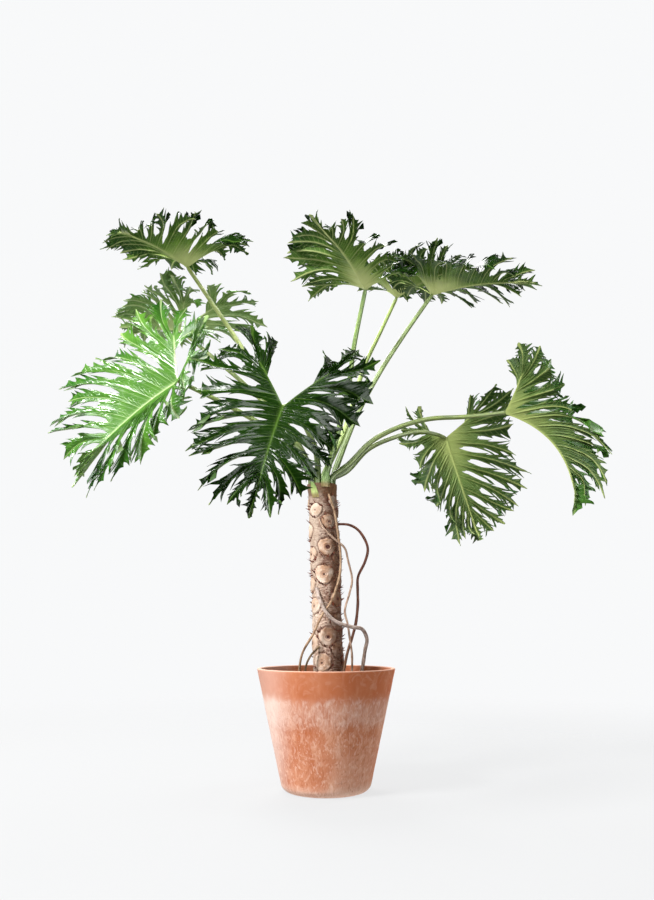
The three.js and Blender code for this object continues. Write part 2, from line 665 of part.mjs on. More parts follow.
function potGeometry() {
  const footCorner = [30, 60, 90].map(radians).map((angle) => [
    potOuter(POT_FOOT_ROUND * (1 - Math.cos(angle))) - POT_FOOT_ROUND * (1 - Math.sin(angle)),
    POT_FOOT_ROUND * (1 - Math.cos(angle)),
  ]);
  return ringed([
    [0, 0],
    [POT_FOOT_RADIUS - POT_FOOT_ROUND, 0],
    ...footCorner,
    [potOuter(POT_HEIGHT - POT_LIP), POT_HEIGHT - POT_LIP],
    [potOuter(POT_HEIGHT) - POT_LIP, POT_HEIGHT],
    [potInner(POT_HEIGHT) + POT_LIP, POT_HEIGHT],
    [potInner(POT_HEIGHT - POT_LIP), POT_HEIGHT - POT_LIP],
    [potInner(POT_FLOOR + POT_INNER_ROUND), POT_FLOOR + POT_INNER_ROUND],
    [potInner(POT_FLOOR) - POT_INNER_ROUND, POT_FLOOR],
    [0, POT_FLOOR],
  ]);
}

function drainSolids() {
  return Array.from({ length: DRAIN_COUNT }, (_, i) => {
    const angle = radians(90 + (360 / DRAIN_COUNT) * i);
    const hole = new THREE.CylinderGeometry(DRAIN_RADIUS, DRAIN_RADIUS, 3 * POT_FLOOR, DRAIN_SIDES);
    hole.rotateX(Math.PI / 2);
    hole.translate(DRAIN_RING * Math.cos(angle), DRAIN_RING * Math.sin(angle), POT_FLOOR / 2);
    return toSolid(hole);
  });
}

// The soil fills the pot up to a little under its rim, and is heaped towards the trunk.
function soilGeometry() {
  const edge = (z) => potInner(z) - GAP;
  return ringed([
    [0, POT_FLOOR + GAP],
    [edge(POT_FLOOR) - POT_INNER_ROUND, POT_FLOOR + GAP],
    [edge(POT_FLOOR + POT_INNER_ROUND), POT_FLOOR + POT_INNER_ROUND + GAP],
    [edge(SOIL_TOP - SOIL_CROWN), SOIL_TOP - SOIL_CROWN],
    [0.75 * edge(SOIL_TOP), SOIL_TOP - 1],
    [0, SOIL_TOP + 1],
  ]);
}

// The plain round hole that the trunk's foot stands in.
function trunkHole() {
  const radius = TRUNK_PLUG_RADIUS + GAP;
  const depth = SOIL_TOP + SOIL_CROWN - TRUNK_FOOT;
  const hole = new THREE.CylinderGeometry(radius, radius, depth, TRUNK_SIDES);
  hole.rotateX(Math.PI / 2);
  hole.rotateZ(Math.PI / 2);
  const centre = trunkCentre(TRUNK_FOOT);
  hole.translate(centre.x, centre.y, TRUNK_FOOT - GAP + depth / 2);
  return toSolid(hole);
}

// ---------- the plant put together ----------

const FINISHES = {
  terracotta: new THREE.MeshStandardMaterial({ color: '#b9714c', roughness: 0.85, metalness: 0 }),
  soil: new THREE.MeshStandardMaterial({ color: '#3a2a20', roughness: 1, metalness: 0 }),
  bark: new THREE.MeshStandardMaterial({ color: '#c8a078', roughness: 0.8, metalness: 0 }),
  stalk: new THREE.MeshStandardMaterial({ color: '#7f9a4a', roughness: 0.5, metalness: 0 }),
  blade: new THREE.MeshStandardMaterial({ color: '#3f7a2c', roughness: 0.4, metalness: 0 }),
  root: new THREE.MeshStandardMaterial({ color: '#a97f5c', roughness: 0.8, metalness: 0 }),
  sheath: new THREE.MeshStandardMaterial({ color: '#a9b86a', roughness: 0.6, metalness: 0 }),
};

const plant = new THREE.Group();
const addPiece = (name, geometry, finish) => {
  const mesh = new THREE.Mesh(geometry, FINISHES[finish]);
  mesh.name = name;
  plant.add(mesh);
};

const potSolid = drainSolids().reduce((solid, hole) => solid.subtract(hole), toSolid(potGeometry()));
addPiece('pot', fromSolid(potSolid), 'terracotta');

const rootBores = ROOTS.map((root) => toSolid(rootGeometry(root, GAP)));
const soilSolid = rootBores.reduce(
  (solid, bore) => solid.subtract(bore),
  toSolid(soilGeometry()).subtract(trunkHole()),
);
addPiece('soil', fromSolid(soilSolid), 'soil');
addPiece('trunk', fromSolid(trunkSolid), 'bark');

ROOTS.forEach((root, i) => {
  addPiece(`aerial_root_${i + 1}`, fromSolid(toSolid(rootGeometry(root, 0)).subtract(prickleCutter)), 'root');
});

SHEATHS.forEach((sheath, i) => {
  const solid = toSolid(sheathGeometry(sheath)).subtract(prickleCutter);
  addPiece(`crown_sheath_${i + 1}`, fromSolid(solid), 'sheath');
});

LEAVES.forEach((leaf, i) => {
  const sheet = bladeSheet(leaf, i + 1);
  const nearBlade = toSolid(bladeSolid(sheet, GAP, 0)).add(toSolid(bladeSolid(sheet, GAP, 1.5 * GAP)));
  const stalk = toSolid(stalkGeometry(leaf)).subtract(trunkCutter).subtract(nearBlade);
  addPiece(`stalk_${i + 1}`, fromSolid(stalk), 'stalk');
  addPiece(`blade_${i + 1}`, fromSolid(toSolid(bladeSolid(sheet, 0, 0))), 'blade');
});

export default plant;
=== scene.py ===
# A split-leaf philodendron grown as a small tree, in a terracotta pot. Metres, +Z up, seen from -Y.
import math

import bpy
import numpy as np
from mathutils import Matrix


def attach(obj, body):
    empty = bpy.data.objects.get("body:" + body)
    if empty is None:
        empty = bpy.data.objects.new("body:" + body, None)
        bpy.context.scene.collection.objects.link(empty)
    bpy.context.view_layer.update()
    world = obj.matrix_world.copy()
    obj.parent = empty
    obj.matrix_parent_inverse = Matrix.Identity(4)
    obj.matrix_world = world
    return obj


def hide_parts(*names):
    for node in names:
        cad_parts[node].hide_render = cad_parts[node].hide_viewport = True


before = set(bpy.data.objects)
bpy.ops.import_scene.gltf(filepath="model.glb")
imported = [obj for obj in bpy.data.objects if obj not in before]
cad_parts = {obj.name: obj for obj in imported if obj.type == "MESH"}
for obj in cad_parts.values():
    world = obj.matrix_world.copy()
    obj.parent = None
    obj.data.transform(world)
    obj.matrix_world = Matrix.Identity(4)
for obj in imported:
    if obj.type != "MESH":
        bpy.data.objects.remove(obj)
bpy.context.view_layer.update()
MM = 0.001

# ----------------------------------------
# Pot. A wheel-thrown terracotta pot with a thin plain rim, three drain holes and an unglazed wall that
# is orange-brown where it is wiped clean and chalky where lime has bloomed through the clay.


def feed(tree, socket, value):
    """Joins a Shade to a node's socket, or sets the socket to a constant."""
    if isinstance(value, Shade):
        tree.links.new(value.socket, socket)
    else:
        socket.default_value = value


class Shade:
    """A socket in a material's node tree. Arithmetic on it adds Math nodes; make() adds any other node."""

    def __init__(self, tree, socket=None):
        self.tree = tree
        self.socket = socket

    def make(self, kind, sockets=None, result=0, **settings):
        node = self.tree.nodes.new(kind)
        for key, value in settings.items():
            setattr(node, key, value)
        for key, value in (sockets or {}).items():
            feed(self.tree, node.inputs[key], value)
        return Shade(self.tree, node.outputs[result])

    def math(self, operation, *values):
        return self.make("ShaderNodeMath", dict(enumerate(values)), operation=operation)

    def __add__(self, other):
        return self.math("ADD", self, other)

    def __radd__(self, other):
        return self.math("ADD", other, self)

    def __sub__(self, other):
        return self.math("SUBTRACT", self, other)

    def __rsub__(self, other):
        return self.math("SUBTRACT", other, self)

    def __mul__(self, other):
        return self.math("MULTIPLY", self, other)

    def __rmul__(self, other):
        return self.math("MULTIPLY", other, self)

    def step(self, low, high):
        """0 below low, 1 above high and smooth between them; low may be the larger."""
        sockets = {"Value": self, "From Min": low, "From Max": high}
        return self.make("ShaderNodeMapRange", sockets, interpolation_type="SMOOTHSTEP")

    def blend(self, first, second):
        """The colour first where this socket is 0, and second where it is 1. A text is a hex colour."""
        first, second = [paint(value) if isinstance(value, str) else value for value in (first, second)]
        sockets = {0: self, 6: first, 7: second}
        return self.make("ShaderNodeMix", sockets, result=2, data_type="RGBA", clamp_factor=True)

    def axis(self, number):
        """The x, y or z (0, 1 or 2) of this vector."""
        return self.make("ShaderNodeSeparateXYZ", {0: self}, result=number)

    def places(self, stretch=(1, 1, 1), attribute=None):
        """Object coordinates, or the piece's own attribute, stretched along each axis."""
        if attribute:
            where = self.make("ShaderNodeAttribute", result=1, attribute_name=attribute)
        else:
            where = self.make("ShaderNodeTexCoord", result=3)
        return self.make("ShaderNodeVectorMath", {0: where, 1: stretch}, operation="MULTIPLY")

    def amount(self, attribute):
        return self.make("ShaderNodeAttribute", result=2, attribute_name=attribute)

    def noise(self, places, scale, detail=4.0, roughness=0.55, distortion=0.0):
        """Noise from 0 to 1 with features about 1 / scale across."""
        sockets = {"Vector": places, "Scale": scale, "Detail": detail, "Roughness": roughness}
        return self.make("ShaderNodeTexNoise", {**sockets, "Distortion": distortion})

    def bump(self, height, distance, strength):
        sockets = {"Height": height, "Distance": distance, "Strength": strength}
        return self.make("ShaderNodeBump", sockets)


def paint(text):
    """The linear colour of a hex colour such as b9714c."""
    levels = [int(text[k : k + 2], 16) / 255 for k in (0, 2, 4)]
    return (*[v / 12.92 if v <= 0.04045 else ((v + 0.055) / 1.055) ** 2.4 for v in levels], 1.0)


def coats(colour, *layers):
    """The colour with each layer's colour laid over it in turn, as far as its mask says."""
    for mask, over in layers:
        colour = mask.blend(colour, over)
    return colour


def dress(finish, **looks):
    """Feeds the inputs of the finish's Principled shader that the looks are named after."""
    inputs = finish.node_tree.nodes["Principled BSDF"].inputs
    for key, value in looks.items():
        feed(finish.node_tree, inputs[key.replace("_", " ")], value)


def new_finish(name, **constants):
    """A material with one Principled shader, and the Shade that its nodes are made from."""
    finish = bpy.data.materials.new(name)
    finish.use_nodes = True
    dress(finish, **constants)
    return finish, Shade(finish.node_tree)


def grid_faces(rows, columns, closed, copies=1):
    """The quads of copies of a grid of points; closed joins its last column to its first."""
    across = np.arange(columns if closed else columns - 1)
    row = np.arange(rows - 1)[:, None] * columns
    first, second = row + across, row + (across + 1) % columns
    quads = np.stack([first, second, second + columns, first + columns], -1).reshape(1, -1, 4)
    return (quads + rows * columns * np.arange(copies)[:, None, None]).reshape(-1, 4)


WELD_STEP = 1e-7


def weld(points, quads):
    """Joins points that meet and splits the quads: the number of each point that stays, and the triangles."""
    keys = np.round(points / WELD_STEP).astype(np.int64)
    _, first, where = np.unique(keys, axis=0, return_index=True, return_inverse=True)
    quads = where.reshape(-1)[quads]
    faces = np.concatenate([quads[:, [0, 1, 2]], quads[:, [0, 2, 3]]])
    kept = (faces[:, 0] != faces[:, 1]) & (faces[:, 1] != faces[:, 2]) & (faces[:, 2] != faces[:, 0])
    return first, faces[kept]


def add_piece(name, points, finish, replaces=None, attributes=None, quads=None, sharp=40):
    """A closed mesh of welded triangles, which rides on the one body. Without quads, the points are rows
    of closed rings, or several such sets of rows."""
    if quads is None:
        *copies, rows, columns, _ = points.shape
        quads = grid_faces(rows, columns, True, *copies)
    points = points.reshape(-1, 3)
    first, faces = weld(points, quads)
    mesh = bpy.data.meshes.new(name)
    mesh.vertices.add(len(first))
    mesh.vertices.foreach_set("co", points[first].astype(np.float32).ravel())
    mesh.loops.add(faces.size)
    mesh.loops.foreach_set("vertex_index", faces.astype(np.int32).ravel())
    mesh.polygons.add(len(faces))
    mesh.polygons.foreach_set("loop_start", np.arange(0, faces.size, 3, dtype=np.int32))
    mesh.update(calc_edges=True)
    for key, values in (attributes or {}).items():
        kind, field = ("FLOAT", "value") if values.ndim == 1 else ("FLOAT_VECTOR", "vector")
        layer = mesh.attributes.new(key, kind, "POINT")
        layer.data.foreach_set(field, values[first].astype(np.float32).ravel())
    mesh.shade_smooth()
    mesh.set_sharp_from_angle(angle=math.radians(sharp))
    mesh.materials.append(finish)
    piece = bpy.data.objects.new(name, mesh)
    bpy.context.scene.collection.objects.link(piece)
    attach(piece, "root")
    if replaces:
        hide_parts(replaces)
    return piece


def unit(ways):
    """The ways with length 1."""
    return ways / np.linalg.norm(ways, axis=-1, keepdims=True)


def ripple(points, size, seed, waves=7):
    """A smooth uneven field from -1 to 1: the mean of sine waves of about one size in random directions."""
    draws = np.random.default_rng(seed)
    ways = unit(draws.normal(size=(waves, 3)))
    lengths = size * draws.uniform(0.6, 1.6, waves)
    turns = draws.uniform(0, 2 * math.pi, waves)
    return np.sin(points @ ways.T * (2 * math.pi / lengths) + turns).mean(-1) * 1.6


def turned(radius, angle, height, centre=(0, 0)):
    """Places round an upright axis: x = centre x + r cos a, y = centre y + r sin a, z = h."""
    x = centre[0] + radius * np.cos(angle)
    y = centre[1] + radius * np.sin(angle)
    return np.stack(np.broadcast_arrays(x, y, height), -1)


def ring_angles(sides):
    """The angles of points spaced evenly round a ring: 2 pi k / sides."""
    return np.arange(sides) / sides * 2 * math.pi


def revolve(profile, sides):
    """A profile of (radius, height) carried round +Z, as rows of rings."""
    return turned(profile[:, :1], ring_angles(sides), profile[:, 1:])


def fill_in(corners, spacing):
    """The corners of an outline with more points along its straight runs."""
    corners = np.array(corners, float)
    runs = np.linalg.norm(np.diff(corners, axis=0), axis=1)
    places = np.concatenate([[0], np.cumsum(runs)])
    steps = [np.linspace(a, b, max(2, int((b - a) / spacing))) for a, b in zip(places, places[1:])]
    spots = np.unique(np.concatenate(steps).round(7))
    return np.stack([np.interp(spots, places, corners[:, k]) for k in (0, 1)], -1)


POT_HEIGHT = 256 * MM
POT_RIM_RADIUS = 155 * MM
POT_FOOT_RADIUS = 95 * MM
POT_WALL = 9 * MM
POT_FLOOR = 12 * MM
POT_FOOT_ROUND = 16 * MM
POT_LIP = 2 * MM
POT_INNER_ROUND = 8 * MM
POT_SIDES = 128
POT_SPACING = 5 * MM
POT_WEAR = 0.35 * MM
POT_THROW = 0.5 * MM
DRAIN_TURNS = (90, 210, 330)
DRAIN_RADIUS = 6 * MM
DRAIN_RING = 48 * MM


def pot_outer(height):
    return POT_FOOT_RADIUS + (POT_RIM_RADIUS - POT_FOOT_RADIUS) * height / POT_HEIGHT


def pot_inner(height):
    return pot_outer(height) - POT_WALL


foot_turn = np.radians(np.linspace(0, 90, 8))
foot_heights = POT_FOOT_ROUND * (1 - np.cos(foot_turn))
foot_radii = pot_outer(foot_heights) - POT_FOOT_ROUND * (1 - np.sin(foot_turn))
lip_turn = np.radians(np.linspace(0, 90, 5))
lip_drop = POT_HEIGHT - POT_LIP * (1 - np.sin(lip_turn))
lip_in = POT_LIP * (1 - np.cos(lip_turn))
pot_profile = fill_in(
    [
        (0, 0),
        *zip(foot_radii, foot_heights),
        *zip(pot_outer(lip_drop) - lip_in, lip_drop),
        *zip((pot_inner(lip_drop) + lip_in)[::-1], lip_drop[::-1]),
        (pot_inner(POT_FLOOR + POT_INNER_ROUND), POT_FLOOR + POT_INNER_ROUND),
        (pot_inner(POT_FLOOR) - POT_INNER_ROUND, POT_FLOOR),
        (0, POT_FLOOR),
    ],
    POT_SPACING,
)
pot_points = revolve(pot_profile, POT_SIDES)
throw = ripple(pot_points * (1, 1, 4), 90 * MM, 3) * POT_THROW
from_axis = np.linalg.norm(pot_points[..., :2], axis=-1, keepdims=True)
outward = pot_points[..., :2] / np.maximum(from_axis, 1e-9)
is_wall = (from_axis[..., 0] > POT_FOOT_RADIUS) & (pot_points[..., 2] > POT_FOOT_ROUND)
pot_points[..., :2] -= outward * np.where(is_wall, POT_WEAR + throw * 0.6, 0)[..., None]

terracotta, shade = new_finish("terracotta", Roughness=0.85, Specular_IOR_Level=0.25)
where = shade.places()
height = where.axis(2)
clouds = shade.noise(where, 7, 5, 0.6)
blotches = shade.noise(where, 24, 6, 0.65)
runs = shade.noise(shade.places((1, 1, 0.16)), 75, 5)
swirls = shade.noise(where, 34, 6, 0.5, 2.2)
brushed = shade.places((1, 1, 0.3))
scratches = shade.noise(brushed, 150, 4, 0.5, 2.2)
strokes = shade.noise(brushed, 130, 5, 0.5, 1.4)
turning_marks = shade.noise(shade.places((0.1, 0.1, 1)), 260, 2)
grit = shade.noise(where, 900, 3)
bloom_edge = height + 0.03 * (runs - 0.5) + 0.02 * (blotches - 0.5)
bloom = bloom_edge.step(0.128, 0.158) * bloom_edge.step(0.21, 0.178)
bloom = bloom + 0.6 * clouds.step(0.48, 0.7) * height.step(0.14, 0.1)
tide = bloom_edge + 0.02 * (strokes - 0.5)
tide_line = 0.5 * tide.step(0.183, 0.189) * tide.step(0.2, 0.19) * strokes.step(0.42, 0.55)
bloom = bloom * (0.4 + 0.7 * strokes.step(0.4, 0.62)) + tide_line
# Painted light: the clay is painted paler on the pot's -x side, where the key light falls.
painted_lit_clay = where.axis(0) + 0.03 * (strokes - 0.5)
worn = height.step(0.2, 0.15)
clay = coats(
    clouds.step(0.3, 0.72).blend("aa5d38", "c98a69"),
    (runs.step(0.45, 0.75) * 0.45, "d9a78a"),
    (swirls.step(0.52, 0.66) * 0.35, "dcb39c"),
    (bloom * 0.54, "d4b3a3"),
    (painted_lit_clay.step(-0.06, -0.125) * 0.6, "e4d4cb"),
    (bloom_edge.step(0.182, 0.212) * 0.55, "b05f35"),
    (height.step(0.03, 0.004) * blotches * 0.9, "e0c6b5"),
    (scratches.step(0.54, 0.68) * 0.36 * worn, "e2c6b6"),
    (scratches.step(0.45, 0.33) * 0.42 * worn, "94502f"),
    # Painted highlight: a pale line along the top of the rim.
    (height.step(0.2535, 0.2552) * 0.5, "e4c1ac"),
    (grit.step(0.62, 0.75) * 0.22, "8a5233"),
)
relief = shade.bump(grit * 0.25 + runs * 0.35 + swirls * 0.4 + turning_marks * 0.35, 0.4 * MM, 0.6)
dress(terracotta, Base_Color=clay, Roughness=0.72 + 0.22 * blotches, Normal=relief)

pot = add_piece("terracotta_pot", pot_points, terracotta, "pot")
for turn in np.radians(DRAIN_TURNS):
    centre = (DRAIN_RING * math.cos(turn), DRAIN_RING * math.sin(turn), 0)
    bpy.ops.mesh.primitive_cylinder_add(vertices=32, radius=DRAIN_RADIUS, depth=0.08, location=centre)
    drill = bpy.context.object
    cut = pot.modifiers.new("drain", "BOOLEAN")
    cut.operation = "DIFFERENCE"
    cut.object = drill
    bpy.context.view_layer.objects.active = pot
    bpy.ops.object.modifier_apply(modifier=cut.name)
    bpy.data.objects.remove(drill)

# ----------------------------------------
# Soil. Dark peat and bark mix, heaped a little towards the trunk, with loose crumbs on its surface. It
# fills the pot to just under the rim, and holds the trunk's foot and the ends of the roots.

SOIL_TOP = 236 * MM
SOIL_CROWN = 5 * MM
SOIL_SIDES = 128
SOIL_SPACING = 4 * MM
GAP = 0.3 * MM
CRUMB_COUNT = 420
CRUMB_RINGS = 5
CRUMB_SIDES = 7


def soil_edge(height):
    return pot_inner(height) - GAP


soil_profile = fill_in(
    [
        (0, POT_FLOOR + GAP),
        (soil_edge(POT_FLOOR) - POT_INNER_ROUND, POT_FLOOR + GAP),
        (soil_edge(POT_FLOOR + POT_INNER_ROUND), POT_FLOOR + POT_INNER_ROUND + GAP),
        (soil_edge(SOIL_TOP - SOIL_CROWN), SOIL_TOP - SOIL_CROWN),
        (0.75 * soil_edge(SOIL_TOP), SOIL_TOP - 1 * MM),
        (0, SOIL_TOP + 1 * MM),
    ],
    SOIL_SPACING,
)
soil_points = revolve(soil_profile, SOIL_SIDES)
on_top = np.clip((soil_points[..., 2] - (SOIL_TOP - 8 * MM)) / (3 * MM), 0, 1)
crumble = 1.2 * ripple(soil_points, 14 * MM, 5) + 0.8 * ripple(soil_points, 6 * MM, 6, 12)
soil_points[..., 2] += on_top * crumble * MM

peat, shade = new_finish("peat", Roughness=0.95, Specular_IOR_Level=0.2)
crumbs = shade.noise(shade.places(), 260, 6, 0.7)
peat_colour = coats(
    crumbs.step(0.35, 0.7).blend("1d140e", "4f3a29"),
    (shade.noise(shade.places(), 90, 3).step(0.6, 0.72), "6b5039"),
)
dress(peat, Base_Color=peat_colour, Normal=shade.bump(crumbs, 2 * MM, 0.8))
add_piece("potting_soil", soil_points, peat, "soil")

draws = np.random.default_rng(11)
crumb_turn = draws.uniform(0, 2 * math.pi, CRUMB_COUNT)
crumb_ring = soil_edge(SOIL_TOP) * np.sqrt(draws.uniform(0.09, 0.93, CRUMB_COUNT))
crumb_size = draws.uniform(1.2, 4.2, (CRUMB_COUNT, 1)) * draws.uniform(0.5, 1.2, (CRUMB_COUNT, 3)) * MM
ball_rises = np.linspace(-1, 1, CRUMB_RINGS)[:, None] * math.pi / 2
ball = turned(np.cos(ball_rises), ring_angles(CRUMB_SIDES), np.sin(ball_rises))
crumb_lift = SOIL_TOP - SOIL_CROWN * (crumb_ring / soil_edge(SOIL_TOP)) ** 2 + 0.4 * MM
crumb_place = turned(crumb_ring, crumb_turn, crumb_lift)[:, None, None]
crumb_points = ball * crumb_size[:, None, None]
uneven = ripple(crumb_points + crumb_place * 3, 3 * MM, 12)[..., None]
crumb_points = crumb_points * (1 + 0.35 * uneven) + crumb_place
add_piece("soil_crumbs", crumb_points, peat)

# ----------------------------------------
# Trunk. A bare stem that leans a little. Each fallen leaf has left a pale corky shield with a raised
# rim and a dark bundle mark in its middle, and brown bark shows between the shields.

TRUNK_FOOT = 190 * MM
TRUNK_FOOT_X = 5 * MM
TRUNK_TOP = 672 * MM
TRUNK_BOW = 3 * MM
TRUNK_RADIUS = 33 * MM
TRUNK_FLARE = 2 * MM
CROWN_X = -10 * MM
SCARS = np.array([  # the angle round the trunk in degrees, the height in mm, and the size of each leaf scar
    (247, 268, 1.05), (272, 324, 1.05), (264, 462, 1.1), (281, 524, 1.0), (291, 582, 0.85), (237, 609, 0.8),
    (196, 310, 1.0), (215, 392, 0.9), (186, 440, 1.0), (205, 508, 0.85), (180, 560, 1.0), (165, 625, 0.8),
    (318, 296, 0.9), (322, 356, 0.95), (318, 408, 0.85), (345, 452, 0.95), (330, 500, 0.8), (345, 556, 0.95),
    (325, 628, 0.8), (10, 275, 1.0), (128, 270, 1.0), (70, 300, 1.0), (25, 340, 0.95), (140, 350, 1.0),
    (82, 368, 0.95), (30, 405, 0.9), (112, 420, 1.0), (150, 480, 1.0), (60, 468, 1.0), (100, 520, 1.0),
    (25, 515, 0.95), (62, 575, 1.0), (128, 590, 0.95), (12, 612, 0.9), (95, 635, 0.9),
])
SCAR_HALF_WIDTH = 20 * MM
SCAR_HALF_HEIGHT = 19 * MM
SCAR_HEIGHT = 3 * MM
BARK_RINGS = [  # the height in mm, the place and the width of each ring round a scar's middle
    (0.9, 0.9, 0.07), (0.7, 0.4, 0.07), (-1.6, 0, 0.13), (-0.8, 0.3, 0.06), (-1.3, 1.12, 0.1),
]
TRUNK_RINGS = 230
TRUNK_COLUMNS = 160


def smooth(value, low, high):
    """0 below low, 1 above high, and 3 s^2 - 2 s^3 between them."""
    share = np.clip((value - low) / (high - low), 0, 1)
    return share * share * (3 - 2 * share)


def trunk_centre(height):
    rise = (height - TRUNK_FOOT) / (TRUNK_TOP - TRUNK_FOOT)
    across = TRUNK_FOOT_X + (CROWN_X - TRUNK_FOOT_X) * rise**1.6
    return across, TRUNK_BOW * np.sin(rise * math.pi)


def trunk_flare(height):
    return TRUNK_FLARE * smooth(height, TRUNK_TOP - 40 * MM, TRUNK_TOP)


def bark(angle, height):
    """The bark's relief, how near each point is to a leaf scar's middle (0) or rim (1), and that scar's
    own number from 0 to 1. A scar is an uneven shield 3 mm high and broadest above its middle, with
    rings at its rim and round its middle, a pit there and a groove outside."""
    turn = angle[..., None] - np.radians(SCARS[:, 0])
    across = np.arctan2(np.sin(turn), np.cos(turn)) * TRUNK_RADIUS / (SCAR_HALF_WIDTH * SCARS[:, 2])
    up = (height[..., None] - SCARS[:, 1] * MM) / (SCAR_HALF_HEIGHT * SCARS[:, 2])
    far = np.hypot(across / (1 + 0.16 * np.clip(up, -1, 1)), up)
    nearest = far.argmin(-1)
    skin = turned(TRUNK_RADIUS, angle, height)
    far = far.min(-1) * (1 + 0.1 * ripple(skin, 11 * MM, 23, 10))
    up = np.take_along_axis(up, nearest[..., None], -1)[..., 0]
    relief = np.where(far < 1, SCAR_HEIGHT * (1 - far**4) * (0.8 - 0.2 * up), 0)
    for size, place, width in BARK_RINGS:
        relief = relief + size * MM * np.exp(-(((far - place) / width) ** 2))
    return relief, far, nearest * 0.618 % 1


def close_ends(rings, ends):
    """The rings with one more at each end, shrunk to that end's point."""
    caps = [np.broadcast_to(end, (1, *rings.shape[1:])) for end in ends]
    return np.concatenate([caps[0], rings, caps[1]])


def repeat_ends(rows):
    """The rows of a field with the first and the last row twice, to go with closed ends."""
    return np.concatenate([rows[:1], rows, rows[-1:]])


trunk_heights = np.concatenate([[TRUNK_FOOT], np.linspace(SOIL_TOP - 4 * MM, TRUNK_TOP, TRUNK_RINGS)])
angle, height = np.meshgrid(ring_angles(TRUNK_COLUMNS), trunk_heights)
relief, scar, own = bark(angle, height)
fade = smooth(height, SOIL_TOP + 2 * MM, SOIL_TOP + 16 * MM)
fade = fade * (1 - smooth(height, TRUNK_TOP - 30 * MM, TRUNK_TOP))
spot = turned(TRUNK_RADIUS, angle, height)
rough = 0.5 * MM * ripple(spot * (1, 1, 3), 12 * MM, 21, 12) + 0.6 * MM * ripple(spot, 30 * MM, 22)
wall = TRUNK_RADIUS + trunk_flare(height) + fade * relief + rough * (0.4 + smooth(scar, 0.9, 1.15))
trunk_points = turned(wall, angle, height, trunk_centre(height))
trunk_points = close_ends(trunk_points, [[*trunk_centre(z), z] for z in (TRUNK_FOOT, TRUNK_TOP)])

cork, shade = new_finish("cork_bark", Roughness=0.8, Specular_IOR_Level=0.3)
where = shade.places()
axes = [where.axis(k) for k in range(3)]
rim_near = shade.amount("scar")
own_tone = shade.amount("own")
fibre = shade.noise(shade.places((1, 1, 3.5)), 110, 5, 0.65)
mottle = shade.noise(where, 38, 5, 0.6)
cracks = shade.noise(shade.places((0.5, 0.5, 3)), 150, 4)
patches = shade.noise(where, 24, 4, 0.6)
spots = shade.noise(where, 210, 2)
far = rim_near + 0.26 * (mottle - 0.5)
skin = coats(
    mottle.step(0.36, 0.64).blend("e2d0c0", "ac866c"),
    (own_tone.step(0.35, 0.8) * 0.45, "ae866c"),
    (cracks.step(0.54, 0.66) * 0.45, "a97f5c"),
)
for place, width, strength, stain in (
    (0.42, 0.1, 0.45, "a27350"),
    (0.9, 0.1, 0.4, "b28660"),
    (0.24, 0.08, 0.7, "7c4229"),
):
    ring = far.step(place - width, place) * far.step(place + width, place)
    skin = (ring * strength * (0.5 + own_tone)).blend(skin, stain)
between = coats(
    fibre.step(0.32, 0.7).blend("e0c8b5", "76503e"),
    (patches.step(0.5, 0.6) * 0.75, "5e3122"),
    (mottle.step(0.5, 0.62) * 0.6, "744a32"),
    # Painted shade: the bark between the scars is painted darker from about 0.34 m up, under the leaves.
    (axes[2].step(0.34, 0.5) * 0.45, "5b3a29"),
    (spots.step(0.57, 0.64) * 0.85, "431b0f"),
)
# Painted light and shade: the bark is painted paler on the -x side, where the key light falls, and darker on
# the +x side.
painted_lit_bark = (axes[0] + 0.03 * (mottle - 0.5)).step(-0.002, -0.026)
shadow_side = (axes[0] + 0.3 * axes[1] + 0.03 * mottle).step(0.002, 0.03)
bark_colour = coats(
    far.step(0.95, 1.06).blend(skin, between),
    (painted_lit_bark * (0.15 + 0.45 * cracks), "e0ccb8"),
    (far.step(0.98, 1.08) * far.step(1.26, 1.12) * 0.6, "5f3823"),
    (shadow_side * (0.55 + 0.5 * fibre), "53331f"),
    ((rim_near - 0.16 * own_tone * own_tone).step(0.16, 0.07), "34140b"),
    ((axes[2] + 0.012 * mottle).step(0.643, 0.655) * 0.8, fibre.blend("3d3a1e", "6b3a22")),
)
relief = shade.bump(fibre * 0.6 + cracks * 0.6 + mottle * 0.3, 0.8 * MM, 0.7)
dress(cork, Base_Color=bark_colour, Normal=relief)
trunk_fields = {"scar": repeat_ends(scar).reshape(-1), "own": repeat_ends(own).reshape(-1)}
add_piece("scarred_trunk", trunk_points, cork, "trunk", trunk_fields)

# ----------------------------------------
# Prickles. Small red-brown scales, hard and woody, that grow from the bark and stand out round the
# leaf scars, curved up a little. Each is a small cone with its foot inside the bark.

PRICKLE_COUNT = 380
PRICKLE_RINGS = 5
PRICKLE_SIDES = 6


def spines(foot, outward, up, lengths, radius):
    """Curved cones: the middle line is foot + s outward + s^2 up, and the radius falls to 0 at s = 1."""
    share = np.linspace(0, 1, PRICKLE_RINGS)[None, :, None, None]
    turn = ring_angles(PRICKLE_SIDES)[None, None, :, None]
    side = unit(np.cross(outward, up))
    over = np.cross(side, outward)
    foot, outward, up, side, over = [way[:, None, None, :] for way in (foot, outward, up, side, over)]
    reach = lengths[:, None, None, None]
    line = foot + outward * reach * share + up * reach * 0.35 * share**2
    ring = side * np.cos(turn) + over * np.sin(turn)
    points = line + ring * radius[:, None, None, None] * (1 - share) ** 0.8
    base = np.broadcast_to(line[:, :1], (len(foot), 1, PRICKLE_SIDES, 3))
    return np.concatenate([base, points], 1)


